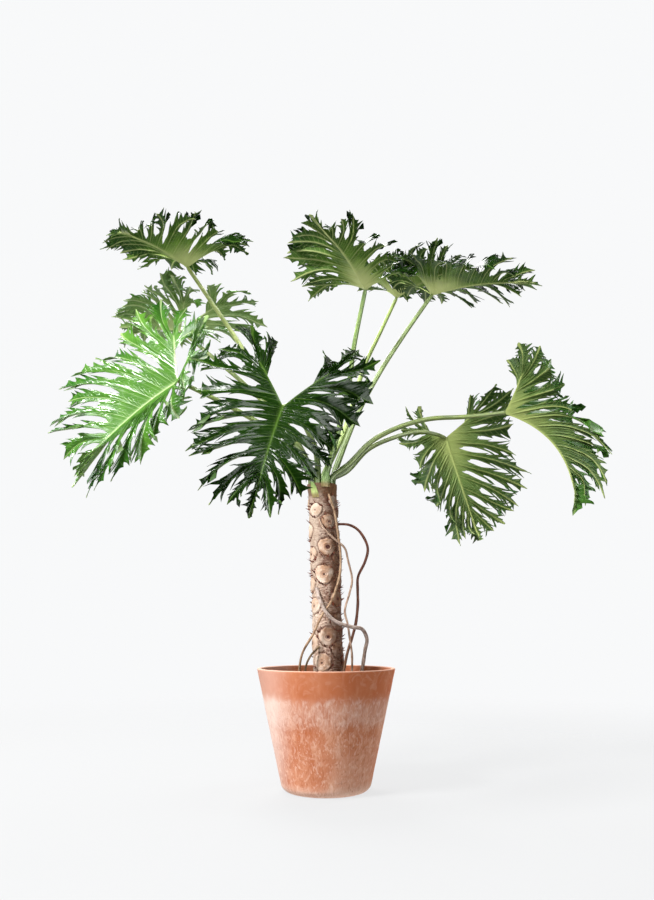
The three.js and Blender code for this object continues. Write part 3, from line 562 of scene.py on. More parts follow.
draws = np.random.default_rng(41)
beside = SCARS[np.arange(PRICKLE_COUNT) % len(SCARS)]
way_round = draws.uniform(0, 2 * math.pi, PRICKLE_COUNT)
spread = draws.uniform(1.0, 1.25, PRICKLE_COUNT) * beside[:, 2]
spine_angle = np.radians(beside[:, 0]) + spread * SCAR_HALF_WIDTH * np.cos(way_round) / TRUNK_RADIUS
spine_height = beside[:, 1] * MM + spread * SCAR_HALF_HEIGHT * np.sin(way_round)
spine_height = np.clip(spine_height, SOIL_TOP + 12 * MM, TRUNK_TOP - 12 * MM)
spine_out = turned(1, spine_angle, draws.uniform(-0.2, 0.5, PRICKLE_COUNT))
spine_foot = np.stack([*trunk_centre(spine_height), spine_height], -1)
spine_foot += spine_out * (1, 1, 0) * (TRUNK_RADIUS - 1.5 * MM)
spine_lengths = draws.uniform(5, 12, PRICKLE_COUNT) * MM
spine_radius = draws.uniform(1.0, 2.2, PRICKLE_COUNT) * MM
spine_up = np.tile([0.0, 0.0, 1.0], (PRICKLE_COUNT, 1))
spine_points = spines(spine_foot, spine_out, spine_up, spine_lengths, spine_radius)

scale_brown, shade = new_finish("scale_brown", Roughness=0.6)
brown = shade.noise(shade.places(), 60, 3).step(0.35, 0.65).blend("3f140b", "7a3a22")
dress(scale_brown, Base_Color=brown, Normal=shade.bump(shade.noise(shade.places(), 700, 2), 0.2 * MM, 0.5))
add_piece("trunk_prickles", spine_points, scale_brown)

# ----------------------------------------
# Aerial roots. Cord-like roots that leave the trunk, hang beside it and run down into the soil. Their
# skin is corky and streaked, with small knots.

LONG_ROOT_RINGS = 220
SHORT_ROOT_RINGS = 70
ROOT_SIDES = 14
ROOTS = [  # the radius in mm, the light and the dark colour, and the route in mm
    (2.6, "c2a486", "7f5d42", [
        (4, -24, 649), (10, -40, 632), (18, -40, 607), (27, -36, 553), (33, -32, 503), (31, -33, 461),
        (21, -38, 426), (12, -42, 402), (-9, -44, 371), (-27, -46, 333), (-53, -48, 286), (-61, -52, 215),
    ]),
    (2.4, "c8ae9a", "7d5a45", [
        (-20, -22, 598), (-6, -44, 565), (21, -46, 538), (42, -40, 520), (50, -30, 492), (59, -22, 449),
        (52, -22, 417), (42, -30, 380), (48, -32, 352), (53, -36, 317), (57, -38, 285), (55, -38, 215),
    ]),
    (3.2, "673e2e", "381b15", [
        (21, -5, 579), (53, -6, 577), (74, -8, 565), (92, -10, 537), (96, -10, 518), (89, -10, 491),
        (73, -8, 457), (72, -6, 428), (72, -8, 396), (67, -10, 354), (60, -15, 328), (46, -28, 285),
        (32, -44, 215),
    ]),
    (4.2, "c6b5ab", "7d695e", [
        (-21, -22, 432), (-14, -42, 404), (-2, -54, 380), (13, -54, 363), (33, -50, 352), (60, -42, 345),
        (80, -32, 341), (91, -24, 319), (87, -20, 296), (74, -20, 215),
    ]),
    (2.2, "a58c69", "5f4830", [(-14, -22, 304), (-33, -38, 285), (-44, -40, 262), (-47, -38, 215)]),
]
RUN_STEPS = 30


def curve_through(knots, count):
    """Evenly spaced points on a centripetal Catmull-Rom curve, and how far along it they are: each run is
    a cubic whose end slopes come from its neighbours, weighted by the square roots of the runs' lengths."""
    knots = np.array(knots, float)
    knots = np.concatenate([[2 * knots[0] - knots[1]], knots, [2 * knots[-1] - knots[-2]]])
    gaps = np.sqrt(np.linalg.norm(np.diff(knots, axis=0), axis=1))[:, None]
    first_gap, gap, last_gap = gaps[:-2], gaps[1:-1], gaps[2:]
    before, start, end, after = knots[:-3], knots[1:-2], knots[2:-1], knots[3:]
    leave = (start - before) / first_gap - (end - before) / (first_gap + gap) + (end - start) / gap
    arrive = (end - start) / gap - (after - start) / (gap + last_gap) + (after - end) / last_gap
    leave, arrive, start, end = [way[:, None] for way in (leave * gap, arrive * gap, start, end)]
    s = np.linspace(0, 1, RUN_STEPS, endpoint=False)[None, :, None]
    cubic = 2 * start - 2 * end + leave + arrive
    square = -3 * start + 3 * end - 2 * leave - arrive
    line = (cubic * s**3 + square * s**2 + leave * s + start).reshape(-1, 3)
    line = np.concatenate([line, knots[-2:-1]])
    reach = np.concatenate([[0], np.cumsum(np.linalg.norm(np.diff(line, axis=0), axis=1))])
    spots = np.linspace(0, reach[-1], count)
    return np.stack([np.interp(spots, reach, line[:, k]) for k in range(3)], -1), spots


def tube(line, spots, radii, reference, sides, skin_radius):
    """A ring of each radius round each point of the line, square to it, with both ends closed. Each point's
    place on the skin goes with it: the turn as a circle of skin_radius, and the way along the line."""
    along = unit(np.gradient(line, axis=0))
    side = unit(np.cross(along, reference))
    over = np.cross(side, along)
    turn = ring_angles(sides)[None, :, None]
    ring = side[:, None] * np.cos(turn) + over[:, None] * np.sin(turn)
    points = close_ends(line[:, None] + ring * radii[:, None, None], line[[0, -1]])
    grain = turned(skin_radius, turn[..., 0], spots[:, None])
    return points, repeat_ends(grain).reshape(-1, 3)


for number, (radius, light, dark, knots) in enumerate(ROOTS, 1):
    rings = LONG_ROOT_RINGS if len(knots) > 6 else SHORT_ROOT_RINGS
    line, spots = curve_through(np.array(knots) * MM, rings)
    knobs = ripple(np.stack([spots, 0 * spots, 0 * spots], -1), 26 * MM, 30 + number)
    radii = radius * MM * (1 + 0.1 * np.clip(knobs, -1, 1))
    points, grain = tube(line, spots, radii, (0.0, 1.0, 0.0), ROOT_SIDES, radius * MM)
    root_skin, shade = new_finish(f"root_skin_{number}", Roughness=0.75, Specular_IOR_Level=0.3)
    streaks = shade.noise(shade.places((1, 1, 0.12), "grain"), 900, 3)
    blotches = shade.noise(shade.places(attribute="grain"), 70, 4)
    skin = coats(
        streaks.step(0.38, 0.66).blend(light, dark),
        (blotches.step(0.52, 0.66) * 0.7, "5e3c28"),
        (shade.places().axis(2).step(0.36, 0.27) * 0.5, "55412c"),
    )
    dress(root_skin, Base_Color=skin, Normal=shade.bump(streaks + 0.5 * blotches, 0.3 * MM, 0.7))
    add_piece(f"hanging_root_{number}", points, root_skin, f"aerial_root_{number}", {"grain": grain})

# ----------------------------------------
# Crown sheaths. Two old leaf bases that still stand against the crown, fleshy, pale green and ribbed.
# Each is a thin shield that follows the trunk at its foot and leans out a little at its tip.

SHEATHS = [
    {"angle": 242, "foot": 638, "top": 674, "half_width": 15, "turn": -9, "lean": 1.5},
    {"angle": 283, "foot": 662, "top": 701, "half_width": 17, "turn": 2, "lean": 5},
]
SHEATH_COLOURS = [("9aae62", "bcc684"), ("64804a", "8aa065")]
SHEATH_THICKNESS = 3 * MM
SHEATH_ROWS = 40
SHEATH_COLUMNS = 24


def sheath(sizes):
    """A shield of width falling as sqrt(1 - 0.97 s^2.2) up its height, bulging outwards by 1 - 0.6 x^2."""
    rise = np.linspace(0, 1, SHEATH_ROWS)[:, None]
    half_width = math.radians(sizes["half_width"]) * np.sqrt(1 - 0.97 * rise**2.2)
    middle = np.radians(sizes["angle"] + sizes["turn"] * rise)
    height = (sizes["foot"] + (sizes["top"] - sizes["foot"]) * rise) * MM
    centre = trunk_centre(np.minimum(height, TRUNK_TOP))
    inner = TRUNK_RADIUS + trunk_flare(height) + GAP + sizes["lean"] * MM * rise**1.5
    share = np.linspace(-1, 1, SHEATH_COLUMNS)[None]
    ribs = 1 + 0.06 * np.cos(share * 14)
    outer = inner + SHEATH_THICKNESS * (1 - 0.6 * share**2) * (1 - 0.4 * rise) * ribs
    share = np.concatenate([share, share[:, ::-1]], 1)
    radius = np.concatenate([inner + 0 * outer, outer[:, ::-1]], 1)
    points = turned(radius, middle + half_width * share, height, centre)
    return close_ends(points, [points[k].mean(0) for k in (0, -1)])[:, ::-1]


for number, (sizes, colours) in enumerate(zip(SHEATHS, SHEATH_COLOURS), 1):
    sheath_skin, shade = new_finish(f"sheath_skin_{number}", Roughness=0.5)
    ribs = shade.noise(shade.places((1, 1, 0.1)), 500, 3)
    rise = shade.places().axis(2).step(sizes["foot"] * MM, sizes["top"] * MM)
    green = coats(
        ribs.step(0.35, 0.7).blend(*colours),
        (rise.step(0.3, 1) * 0.75, "5f7f3c"),
        (rise.step(0.35, 0.0) * 0.8, "7a5a35"),
    )
    dress(sheath_skin, Base_Color=green, Normal=shade.bump(ribs, 0.4 * MM, 0.7))
    add_piece(f"leaf_base_{number}", sheath(sizes), sheath_skin, f"crown_sheath_{number}")

# ----------------------------------------
# Leaf stalks. Round smooth stalks that stand in a ring on the crown, broad at the foot, and carry one
# blade each. Some are pale and lit, others dark olive, and all are finely streaked lengthwise.

CROWN_RING = 25 * MM
STALK_FOOT_RADIUS = 8 * MM
STALK_END_RADIUS = 4.8 * MM
STALK_RINGS = 130
STALK_SIDES = 20
LEAF_KEYS = (
    "junction", "tip", "right", "left", "back_right", "back_left",
    "path", "arch", "bulge", "ring", "stalk", "tone", "fresh",
)
LEAVES = [  # places and lifts in mm, the stalk's turn round the crown in degrees, then its colours
    ((-350, 0, 1230), (-465, -190, 1220), (-510, 30, 1275), (-260, -115, 1265),
     (-305, 150, 1305), (-215, 80, 1335), [(-107, 10, 846), (-216, 10, 1031), (-285, 6, 1134)],
     10, 14, 170, ("b9c479", "7f9148"), "dark", 0.0),
    ((-395, 180, 1130), (-590, 350, 1175), (-260, 320, 1140), (-495, 80, 1175),
     (-215, 90, 1225), (-335, 0, 1185), [(-89, 45, 816), (-208, 100, 951), (-303, 145, 1044)],
     15, 15, 130, ("93a35a", "5f7538"), "young", 0.1),
    ((-330, -150, 880), (-505, -250, 660), (-545, -70, 950), (-380, -230, 690),
     (-345, -30, 1115), (-270, -120, 1025), [(-61, -50, 746), (-183, -110, 813), (-270, -145, 852)],
     15, 15, 210, ("8fa055", "5a7034"), "young", 0.0),
    ((-85, -330, 770), (-130, -455, 545), (-260, -350, 720), (20, -345, 680),
     (-165, -210, 985), (80, -230, 930), [(-23, -75, 735), (-51, -160, 785), (-70, -270, 790)],
     20, 15, 250, ("7d8f4a", "4d6230"), "dark", 0.0),
    ((90, -150, 1100), (-22, -330, 1165), (-62, -115, 1135), (160, -240, 1115),
     (20, 30, 1200), (195, -40, 1205), [(32, -60, 803), (53, -85, 894), (64, -115, 974)],
     15, 15, 292, ("8ea75a", "55703a"), "dark", 0.0),
    ((195, 200, 1235), (375, 80, 1265), (155, 40, 1280), (355, 310, 1310),
     (50, 220, 1340), (105, 340, 1320), [(46, 50, 819), (98, 110, 1002), (144, 155, 1114)],
     15, 15, 90, ("b4c67c", "83984f"), "dark", 0.12),
    ((265, 0, 1155), (495, -60, 1155), (260, -175, 1155), (390, 140, 1185),
     (165, -60, 1230), (165, 110, 1240), [(71, 5, 837), (128, 5, 947), (192, 0, 1048)],
     14, 12, 10, ("93a766", "56682f"), "dark", -0.14),
    ((420, -50, 835), (550, -110, 615), (535, -200, 780), (615, 50, 795),
     (450, -130, 990), (530, 60, 1035),
     [(54, -18, 719), (108, -25, 773), (171, -35, 804), (242, -42, 822), (323, -50, 825)],
     42, 10, 330, ("77863f", "3f4f22"), "mid", 0.0),
    ((305, 120, 815), (375, 100, 560), (470, 90, 770), (248, 60, 680),
     (445, 150, 965), (200, 115, 884),
     [(49, 22, 710), (100, 45, 767), (158, 70, 801), (231, 90, 824), (279, 107, 822)],
     5, 10, 50, ("6d7a3a", "3c4a20"), "mid", 0.0),
]
LEAVES = [dict(zip(LEAF_KEYS, leaf)) for leaf in LEAVES]

for number, leaf in enumerate(LEAVES, 1):
    turn = math.radians(leaf["ring"])
    foot = np.array([CROWN_X + CROWN_RING * math.cos(turn), CROWN_RING * math.sin(turn), TRUNK_TOP + GAP])
    next_up = foot + np.array([math.cos(turn), math.sin(turn), 14.0]) * MM
    knots = np.concatenate([[foot, next_up], np.array(leaf["path"] + [leaf["junction"]]) * MM])
    line, spots = curve_through(knots, STALK_RINGS)
    share = spots / spots[-1]
    radii = STALK_FOOT_RADIUS + (STALK_END_RADIUS - STALK_FOOT_RADIUS) * share**0.6
    radii = radii * (1 + 0.05 * np.exp(-share / 0.02)) * (1 - 0.35 * smooth(share, 0.985, 1))
    away = (line[-1] - line[0]) * (1, 1, 0)
    reference = np.array([-away[1], away[0], 0]) / np.linalg.norm(away)
    points, grain = tube(line, spots, radii, reference, STALK_SIDES, STALK_END_RADIUS)
    stalk_skin, shade = new_finish(f"stalk_skin_{number}", Roughness=0.42)
    streaks = shade.noise(shade.places((1, 1, 0.05), "grain"), 700, 3)
    patches = shade.noise(shade.places((1, 1, 0.3), "grain"), 60, 3)
    along = shade.places(attribute="grain").axis(2)
    skin = coats(
        (streaks * 0.6 + patches * 0.4).step(0.38, 0.62).blend(*leaf["stalk"]),
        (along.step(0.17, 0.02) * 0.7, "3c4f22"),
    )
    relief = shade.bump(streaks, 0.1 * MM, 0.4)
    dress(stalk_skin, Base_Color=skin, Roughness=0.34 + 0.2 * patches, Normal=relief)
    add_piece(f"leaf_stalk_{number}", points, stalk_skin, f"stalk_{number}", {"grain": grain})

# ----------------------------------------
# Leaf blades. Leathery blades cut deeply into lobes along their side veins, each lobe with pointed
# teeth, and glossy dark green above and paler below, where the ribs and veins stand out.
# A blade is drawn on a unit plan, u across from the midrib and v along it, then folded into space.

BACK_RIB = np.array([0.3, -0.46])
BACK_END_U = 0.44
MIDRIB_END = 0.8
WIDEST_V = 0.25
FRONT_LOBES = [
    (0.04, 0.98, 0.13), (0.14, 1.0, 0.34), (0.26, 0.94, 0.53), (0.38, 0.82, 0.69),
    (0.5, 0.66, 0.82), (0.61, 0.47, 0.92), (0.71, 0.26, 0.98),
]
BACK_LOBES = [(0.22, 1.06, -0.12), (0.52, 1.02, -0.5), (0.8, 0.8, -0.84)]
SMALL_STATION = 0.6
INNER_LOBE = (0.8, 0.06, -0.8)
TIP_LOBE = (0.0, 1.04)
TIP_DRIFT = (0.06, 0.04)
STRAIGHT = (0.5, 0.5)
BACK_BEND = (0.55, 0.4)
FRONT_BEND = (0.55, 0.35)
WEB = 0.44
LOBE_HANG = 16 * MM
BLADE_THICKNESS = 1.1 * MM
SHEAR = 0.28
QUILT = 4 * MM
PLEAT_LEAST = 4 * MM
PLEAT_MORE = 10 * MM
SHINGLE = 8 * MM
TWIST = 26 * MM
MARGIN_WAVE = 4 * MM
MARGIN_WAVES = 3
SWAY = 42 * MM
UNEVEN = 1.6 * MM
WIDEST_LOBULE = 0.145
SIDE_DRIFT = 0.3
CLOSEST_U = 0.02
LENGTH_DRIFT = 0.24


def seeded_draws(seed):
    """A repeatable stream of numbers between 0 and 1 (mulberry32)."""
    full = 0xFFFFFFFF
    state = seed
    while True:
        state = (state + 0x6D2B79F5) & full
        mixed = ((state ^ (state >> 15)) * (state | 1)) & full
        mixed ^= (mixed + (mixed ^ (mixed >> 7)) * (mixed | 61)) & full
        yield (mixed ^ (mixed >> 14)) / (full + 1)


def plan_veins(seed):
    """The side veins in order round the blade, from the right inner lobe over the tip to the left one:
    where each starts on its rib, the middle and the tip of its bend, and its lobe's own draws."""
    stream = seeded_draws(seed)

    def vein(start, u, v, bend, small):
        tip = np.array([u + (next(stream) - 0.5) * TIP_DRIFT[0], v + (next(stream) - 0.5) * TIP_DRIFT[1]])
        middle = np.array(start) * (1 - np.array(bend)) + tip * bend
        draws = [next(stream) for _ in range(5)]
        return {"start": np.array(start), "middle": middle, "tip": tip, "small": small,
                "curl": 0.6 + 0.6 * draws[0], "teeth": draws[1:]}

    terminal = vein((0.0, MIDRIB_END), *TIP_LOBE, STRAIGHT, True)
    sides = []
    for side in (1, -1):
        flip = np.array([side, 1])
        veins = [
            vein(BACK_RIB * flip * INNER_LOBE[0], side * INNER_LOBE[1], INNER_LOBE[2], STRAIGHT, True),
            vein(BACK_RIB * flip, side * BACK_END_U, -1.0, STRAIGHT, False),
        ]
        for station, u, v in BACK_LOBES[::-1]:
            veins.append(vein(BACK_RIB * flip * station, side * u, v, BACK_BEND, False))
        for station, u, v in FRONT_LOBES:
            veins.append(vein((0.0, station), side * u, v, FRONT_BEND, station > SMALL_STATION))
        sides.append(veins)
    return [*sides[0], terminal, *sides[1][::-1]]


def shear(row):
    """How much further along its vein a row lies at the border than at the vein itself."""
    return SHEAR * smooth(row, 0, 0.25) * np.minimum(1, (1 - row) / 0.5)


WEB_ROWS = 9
LOBE_ROWS = 66
CLEFT_ROW = 7
CLEFT_SPREAD = (-4, 3)
row_shear = np.linspace(0, 0.4, 400)
row_end = np.interp(WEB, row_shear + shear(row_shear), row_shear)
ROWS = np.concatenate([row_end * np.linspace(0, 1, WEB_ROWS) ** 1.2, np.linspace(row_end, 1, LOBE_ROWS)[1:]])
HALF_COLUMNS = np.array([0, 0.12, 0.3, 0.55, 0.78, 1.0])
QUILT_RISE = [0.0, 0.35, 1.0, 0.15, 0.85, 0.4]
SECOND_VEIN = 0.55
COLUMNS = np.concatenate([-HALF_COLUMNS[:0:-1], HALF_COLUMNS])
WAIST_PLACES = [0, 0.04, 0.1, 0.2, 0.35, 0.5, 0.65, 0.8, 0.9, 1.0]
WAIST = [1.0, 0.78, 0.61, 0.53, 0.49, 0.46, 0.4, 0.29, 0.17, 0.0]
LOBULES = [  # how far out from the web, how wide, and the lengths over which it rises and falls
    (0.28, 1.02, 0.16, 0.045),
    (0.5, 1.26, 0.16, 0.045),
    (0.69, 1.08, 0.14, 0.04),
    (0.84, 0.7, 0.11, 0.035),
]


def lobe_width(draws, small, web_row):
    """The half width of a lobe for each row, as a share of the way to its border: full in the web, then a
    waist that narrows to the tip, and lobules whose width falls as (1 - distance)^1.25 from their places."""
    past = (ROWS - web_row) / (1 - web_row)
    waist = np.interp(past, WAIST_PLACES, WAIST) * np.where(past < 0.05, 1, 0.8 + 0.4 * draws[2])
    width = waist.copy()
    for index, (place, widest, rising, falling) in enumerate(LOBULES):
        peak = past[np.abs(past - place - 0.1 * (draws[index] - 0.5)).argmin()]
        height = widest * (0.8 + 0.4 * draws[3 - index]) - np.interp(peak, past, waist)
        if small and index % 2:
            height *= 0.4
        far = np.where(past < peak, (peak - past) / rising, (past - peak) / falling)
        width = np.maximum(width, waist + height * np.clip(1 - far, 0, 1) ** 1.25)
    return np.where(ROWS <= web_row, 1.0, width)


def bezier(vein, t):
    """The vein as (1 - t)^2 start + 2 t (1 - t) middle + t^2 tip."""
    t = t[..., None]
    return (1 - t) ** 2 * vein["start"] + 2 * t * (1 - t) * vein["middle"] + t**2 * vein["tip"]


def border(vein, other, side, t):
    """Half way between two veins, drawn to the rib near it; beside the rib's end, an open edge."""
    if other is None:
        shift = BACK_RIB * (side, 1) * (BACK_LOBES[1][0] + BACK_LOBES[2][0]) / 2 - vein["start"]
        return bezier(vein, t) + shift * (1 - 0.55 * t)[..., None]
    middle = (bezier(vein, t) + bezier(other, t)) / 2
    between = (vein["start"] + other["start"]) / 2
    on_midrib = [abs(v["start"][0]) < 1e-9 for v in (vein, other)]
    start = between if on_midrib[0] == on_midrib[1] else np.zeros(2)
    return middle + (start - between) * np.maximum(0, 1 - t / WEB)[..., None]


def fold(u, v, leaf):
    """Carries plan points into space: J + |u| edge + v+ length + v- back, where v+ and v- are the parts
    of v ahead of and behind the junction, rounded where they meet. The arch lifts the midrib by
    4 v (1 - v), and the bulge swells the blade by 4 w (1 - w), w being the way out from the junction."""
    spots = {key: np.array(leaf[key], float) * MM for key in LEAF_KEYS[:6]}
    length = spots["tip"] - spots["junction"]
    edges, backs = [], []
    for side in ("left", "right"):
        edges.append(spots[side] - spots["junction"] - WIDEST_V * length)
        backs.append(spots["back_" + side] - spots["junction"] - BACK_END_U * edges[-1])
    normal = unit(np.cross(edges[1] - edges[0], length))
    is_right = (u >= 0)[..., None]
    across = np.abs(u)
    rounding = np.hypot(v, 0.3 * across)
    ahead, behind = (rounding + v) / 2, (rounding - v) / 2
    points = spots["junction"] + across[..., None] * np.where(is_right, edges[1], edges[0])
    points = points + ahead[..., None] * length + behind[..., None] * np.where(is_right, backs[1], backs[0])
    reach = np.minimum(1, np.hypot(u, behind))
    lift = leaf["arch"] * MM * 4 * ahead * (1 - ahead) * (1 - across * 0.5)
    lift = lift + leaf["bulge"] * MM * 4 * reach * (1 - reach)
    return points + lift[..., None] * normal, normal


def corner_normals(points, faces):
    """The unit normal at each point: the sum of its faces' area vectors."""
    area = np.cross(points[faces[:, 1]] - points[faces[:, 0]], points[faces[:, 2]] - points[faces[:, 0]])
    normals = np.zeros_like(points)
    for corner in range(3):
        np.add.at(normals, faces[:, corner], area)
    return normals / np.maximum(np.linalg.norm(normals, axis=1), 1e-12)[:, None]


def rib_distance(u, v, end):
    """How far plan points lie from a rib's line, which starts at the origin, and how far along it."""
    share = np.clip((u * end[0] + v * end[1]) / (end @ end), 0, 1)
    return np.hypot(u - share * end[0], v - share * end[1]), share


def lobe_half(vein, other, side, draws, web_row):
    """One half of a lobe on the plan, from its vein to its border with the other vein or its open edge:
    the places, how far along the vein and out from it they are, and how free of the web."""
    width = lobe_width(draws, vein["small"], web_row)
    to_border = np.linalg.norm(border(vein, other, -side, ROWS) - bezier(vein, ROWS), axis=-1)
    widest = WIDEST_LOBULE / np.maximum(to_border, 0.01)
    width = np.where(ROWS > web_row, np.minimum(width, widest), width)
    out = width[:, None] * (HALF_COLUMNS[::-1] if side < 0 else HALF_COLUMNS)
    t = np.minimum(1, ROWS[:, None] + shear(ROWS)[:, None] * out)
    loose = smooth(ROWS, web_row, web_row + 0.3)[:, None] + 0 * out
    line = bezier(vein, t)
    return line + (border(vein, other, -side, t) - line) * out[..., None], t, side * out, loose


def blade_surface(leaf, seed):
    """One blade's middle surface: a grid of rows along and columns across each lobe, puffed between its veins
    and waved at its free edges, with its normals, its faces and the fields that go with its points."""
    veins = plan_veins(seed)
    draws = np.random.default_rng(100 + seed)
    web_rows = ROWS[CLEFT_ROW + draws.integers(*CLEFT_SPREAD, len(veins) + 1)]
    lobes = []
    for index, vein in enumerate(veins):
        extra = draws.uniform(0, 1, 11)
        before = veins[index - 1] if index else None
        after = veins[index + 1] if index + 1 < len(veins) else None
        halves = (
            lobe_half(vein, before, -1, [*vein["teeth"][:2], *extra[:2]], web_rows[index]),
            lobe_half(vein, after, 1, [*vein["teeth"][2:], *extra[2:4]], web_rows[index + 1]),
        )
        plan, t, out, loose = [np.concatenate([first[:, :-1], second], 1) for first, second in zip(*halves)]
        free = np.clip((t - WEB) / (1 - WEB), 0, 1)
        way = (vein["tip"] - vein["start"])[None, None]
        sideways = way[..., ::-1] * (-1, 1)
        room = min(1, 2 * abs(vein["tip"][0]))
        drift = SIDE_DRIFT * room * (extra[8] - 0.5) * sideways + LENGTH_DRIFT * (extra[9] - 0.4) * way
        plan = plan + drift * (free**2)[..., None]
        if index != len(veins) // 2:
            side = np.sign(vein["tip"][0])
            inward = side * plan[..., 0]
            squeezed = CLOSEST_U * np.exp(np.minimum(0, inward / CLOSEST_U - 1))
            plan[..., 0] = side * np.where(inward < CLOSEST_U * free, squeezed, inward)
        points, normal = fold(plan[..., 0], plan[..., 1], leaf)
        points = points - (LOBE_HANG * vein["curl"] * free**2)[..., None] * normal
        reach = np.abs(out)
        quilt = QUILT * np.interp(reach, HALF_COLUMNS, QUILT_RISE) * smooth(t, 0, 0.3) * (1 - 0.5 * t)
        held = np.minimum(reach, 0.9)
        pleat = (PLEAT_LEAST + PLEAT_MORE * extra[4]) * held
        shingle = (SHINGLE + TWIST * (extra[5] - 0.5)) * held * np.sign(out)
        turns = MARGIN_WAVES * ROWS[:, None] + extra[4] + 0.25 * np.sign(out)
        wave = MARGIN_WAVE * np.sin(2 * math.pi * turns) * held**2
        sway = SWAY * (extra[6] - 0.5) * free**2
        lift = quilt + loose * (pleat + shingle + wave) + sway
        lift = lift + UNEVEN * ripple(points, 60 * MM, 200 + seed) * smooth(t, 0, 0.2)
        tint = (0.8 * extra[7] - 0.5) * free
        lobes.append({"points": points, "plan": plan, "t": t, "out": out, "lift": lift, "tint": tint})
    stack = {key: np.concatenate([lobe[key] for lobe in lobes]) for key in lobes[0]}
    first, faces = weld(
        stack["points"].reshape(-1, 3),
        grid_faces(len(ROWS), len(COLUMNS), False, len(veins))[:, ::-1],
    )
    count = len(veins) * len(ROWS) * len(COLUMNS)
    fields = {key: value.reshape(count, -1)[first] for key, value in stack.items()}
    points = fields["points"]
    points = points + corner_normals(points, faces) * fields["lift"]
    return points, corner_normals(points, faces), faces, fields


THROUGH_LIGHT = 0.2
BLADE_SHARP = 50
# Each tone's colours: above, the old blade, the young blade and the veins; below, the darker green, which is
# also painted shade towards the margin, the middle, the veins and the part at the stalk; and light coming
# through. Then how pale the part at the stalk is, the roughness and the specular level.
BLADE_TONES = {
    "dark": ("081a02", "1c3d08", "55752c", "1d400b", "82aa40", "ccd68c", "d6de94", "4a7a18", 0.9, 0.15, 0.19),
    "young": ("1a560e", "69a036", "c9dd9c", "4d6e2c", "90ac5c", "d0da98", "d6de94", "8fbf3c", 0.5, 0.17, 0.6),
    "mid": ("1d4410", "4f7f2c", "93ad62", "233f0f", "66803a", "bcc878", "b7c272", "6f9a26", 0.6, 0.3, 0.3),
}
blade_finishes = {}
for tone, look in BLADE_TONES.items():
    deep, fresh, vein_top, shaded, under, vein_under, base, glow, pale, gloss, shine = look
    finish, shade = new_finish(f"leaf_{tone}", Roughness=gloss, Specular_IOR_Level=shine)
    above = shade.amount("above")
    reach = shade.amount("reach")
    grain = shade.places(attribute="grain")
    across = shade.math("ABSOLUTE", grain.axis(0))
    along = grain.axis(1)
    twig = shade.math("PINGPONG", along - 1.1 * across, 4.5 * MM)
    fine = twig.step(0.9 * MM, 0.2 * MM) * across.step(0.0, 2 * MM)
    second = shade.math("ABSOLUTE", shade.amount("lobe") - SECOND_VEIN).step(0.07, 0.02)
    second = second * along.step(110 * MM, 60 * MM) * 0.4
    main = shade.math("MAXIMUM", across.step(1.7 * MM, 0.5 * MM), second)
    mottle = shade.noise(shade.places(), 38, 5)
    grainy = shade.noise(shade.places(), 420, 3)
    age = 0.39 + 0.9 * (mottle - 0.5) + 0.2 * (grainy - 0.5) + 1.25 * shade.amount("tint")
    top = coats(
        age.blend(deep, fresh),
        (fine * 0.14, vein_top),
        (main * 0.55, vein_top),
    )
    lower = coats(
        (age * 1.5 - 0.05).blend(shaded, under),
        # Painted shade: the underside is painted darker towards its margins.
        (reach.step(0.3, 0.72) * 0.68, shaded),
        (reach.step(0.45, 0.05) * pale, base),
        (fine * 0.2, vein_under),
        (main * 0.45, vein_under),
    )
    rib_colour = above.blend(vein_under, vein_top)
    colour = coats(above.blend(lower, top), (shade.amount("rib") * 0.9, rib_colour))
    roughness = (1 - above) * 0.25 + gloss + 0.1 * mottle
    relief = shade.bump(fine * -0.5 + main * -0.6 + grainy * 0.12 + mottle * 0.3, 0.5 * MM, 0.6)
    dress(finish, Base_Color=colour, Roughness=roughness, Normal=relief)
    nodes = finish.node_tree.nodes
    skin = Shade(finish.node_tree, nodes["Principled BSDF"].outputs[0])
    through = shade.make("ShaderNodeBsdfTranslucent", {"Color": paint(glow)})
    both = shade.make("ShaderNodeMixShader", {0: THROUGH_LIGHT, 1: skin, 2: through})
    feed(finish.node_tree, nodes["Material Output"].inputs["Surface"], both)
    blade_finishes[tone] = finish

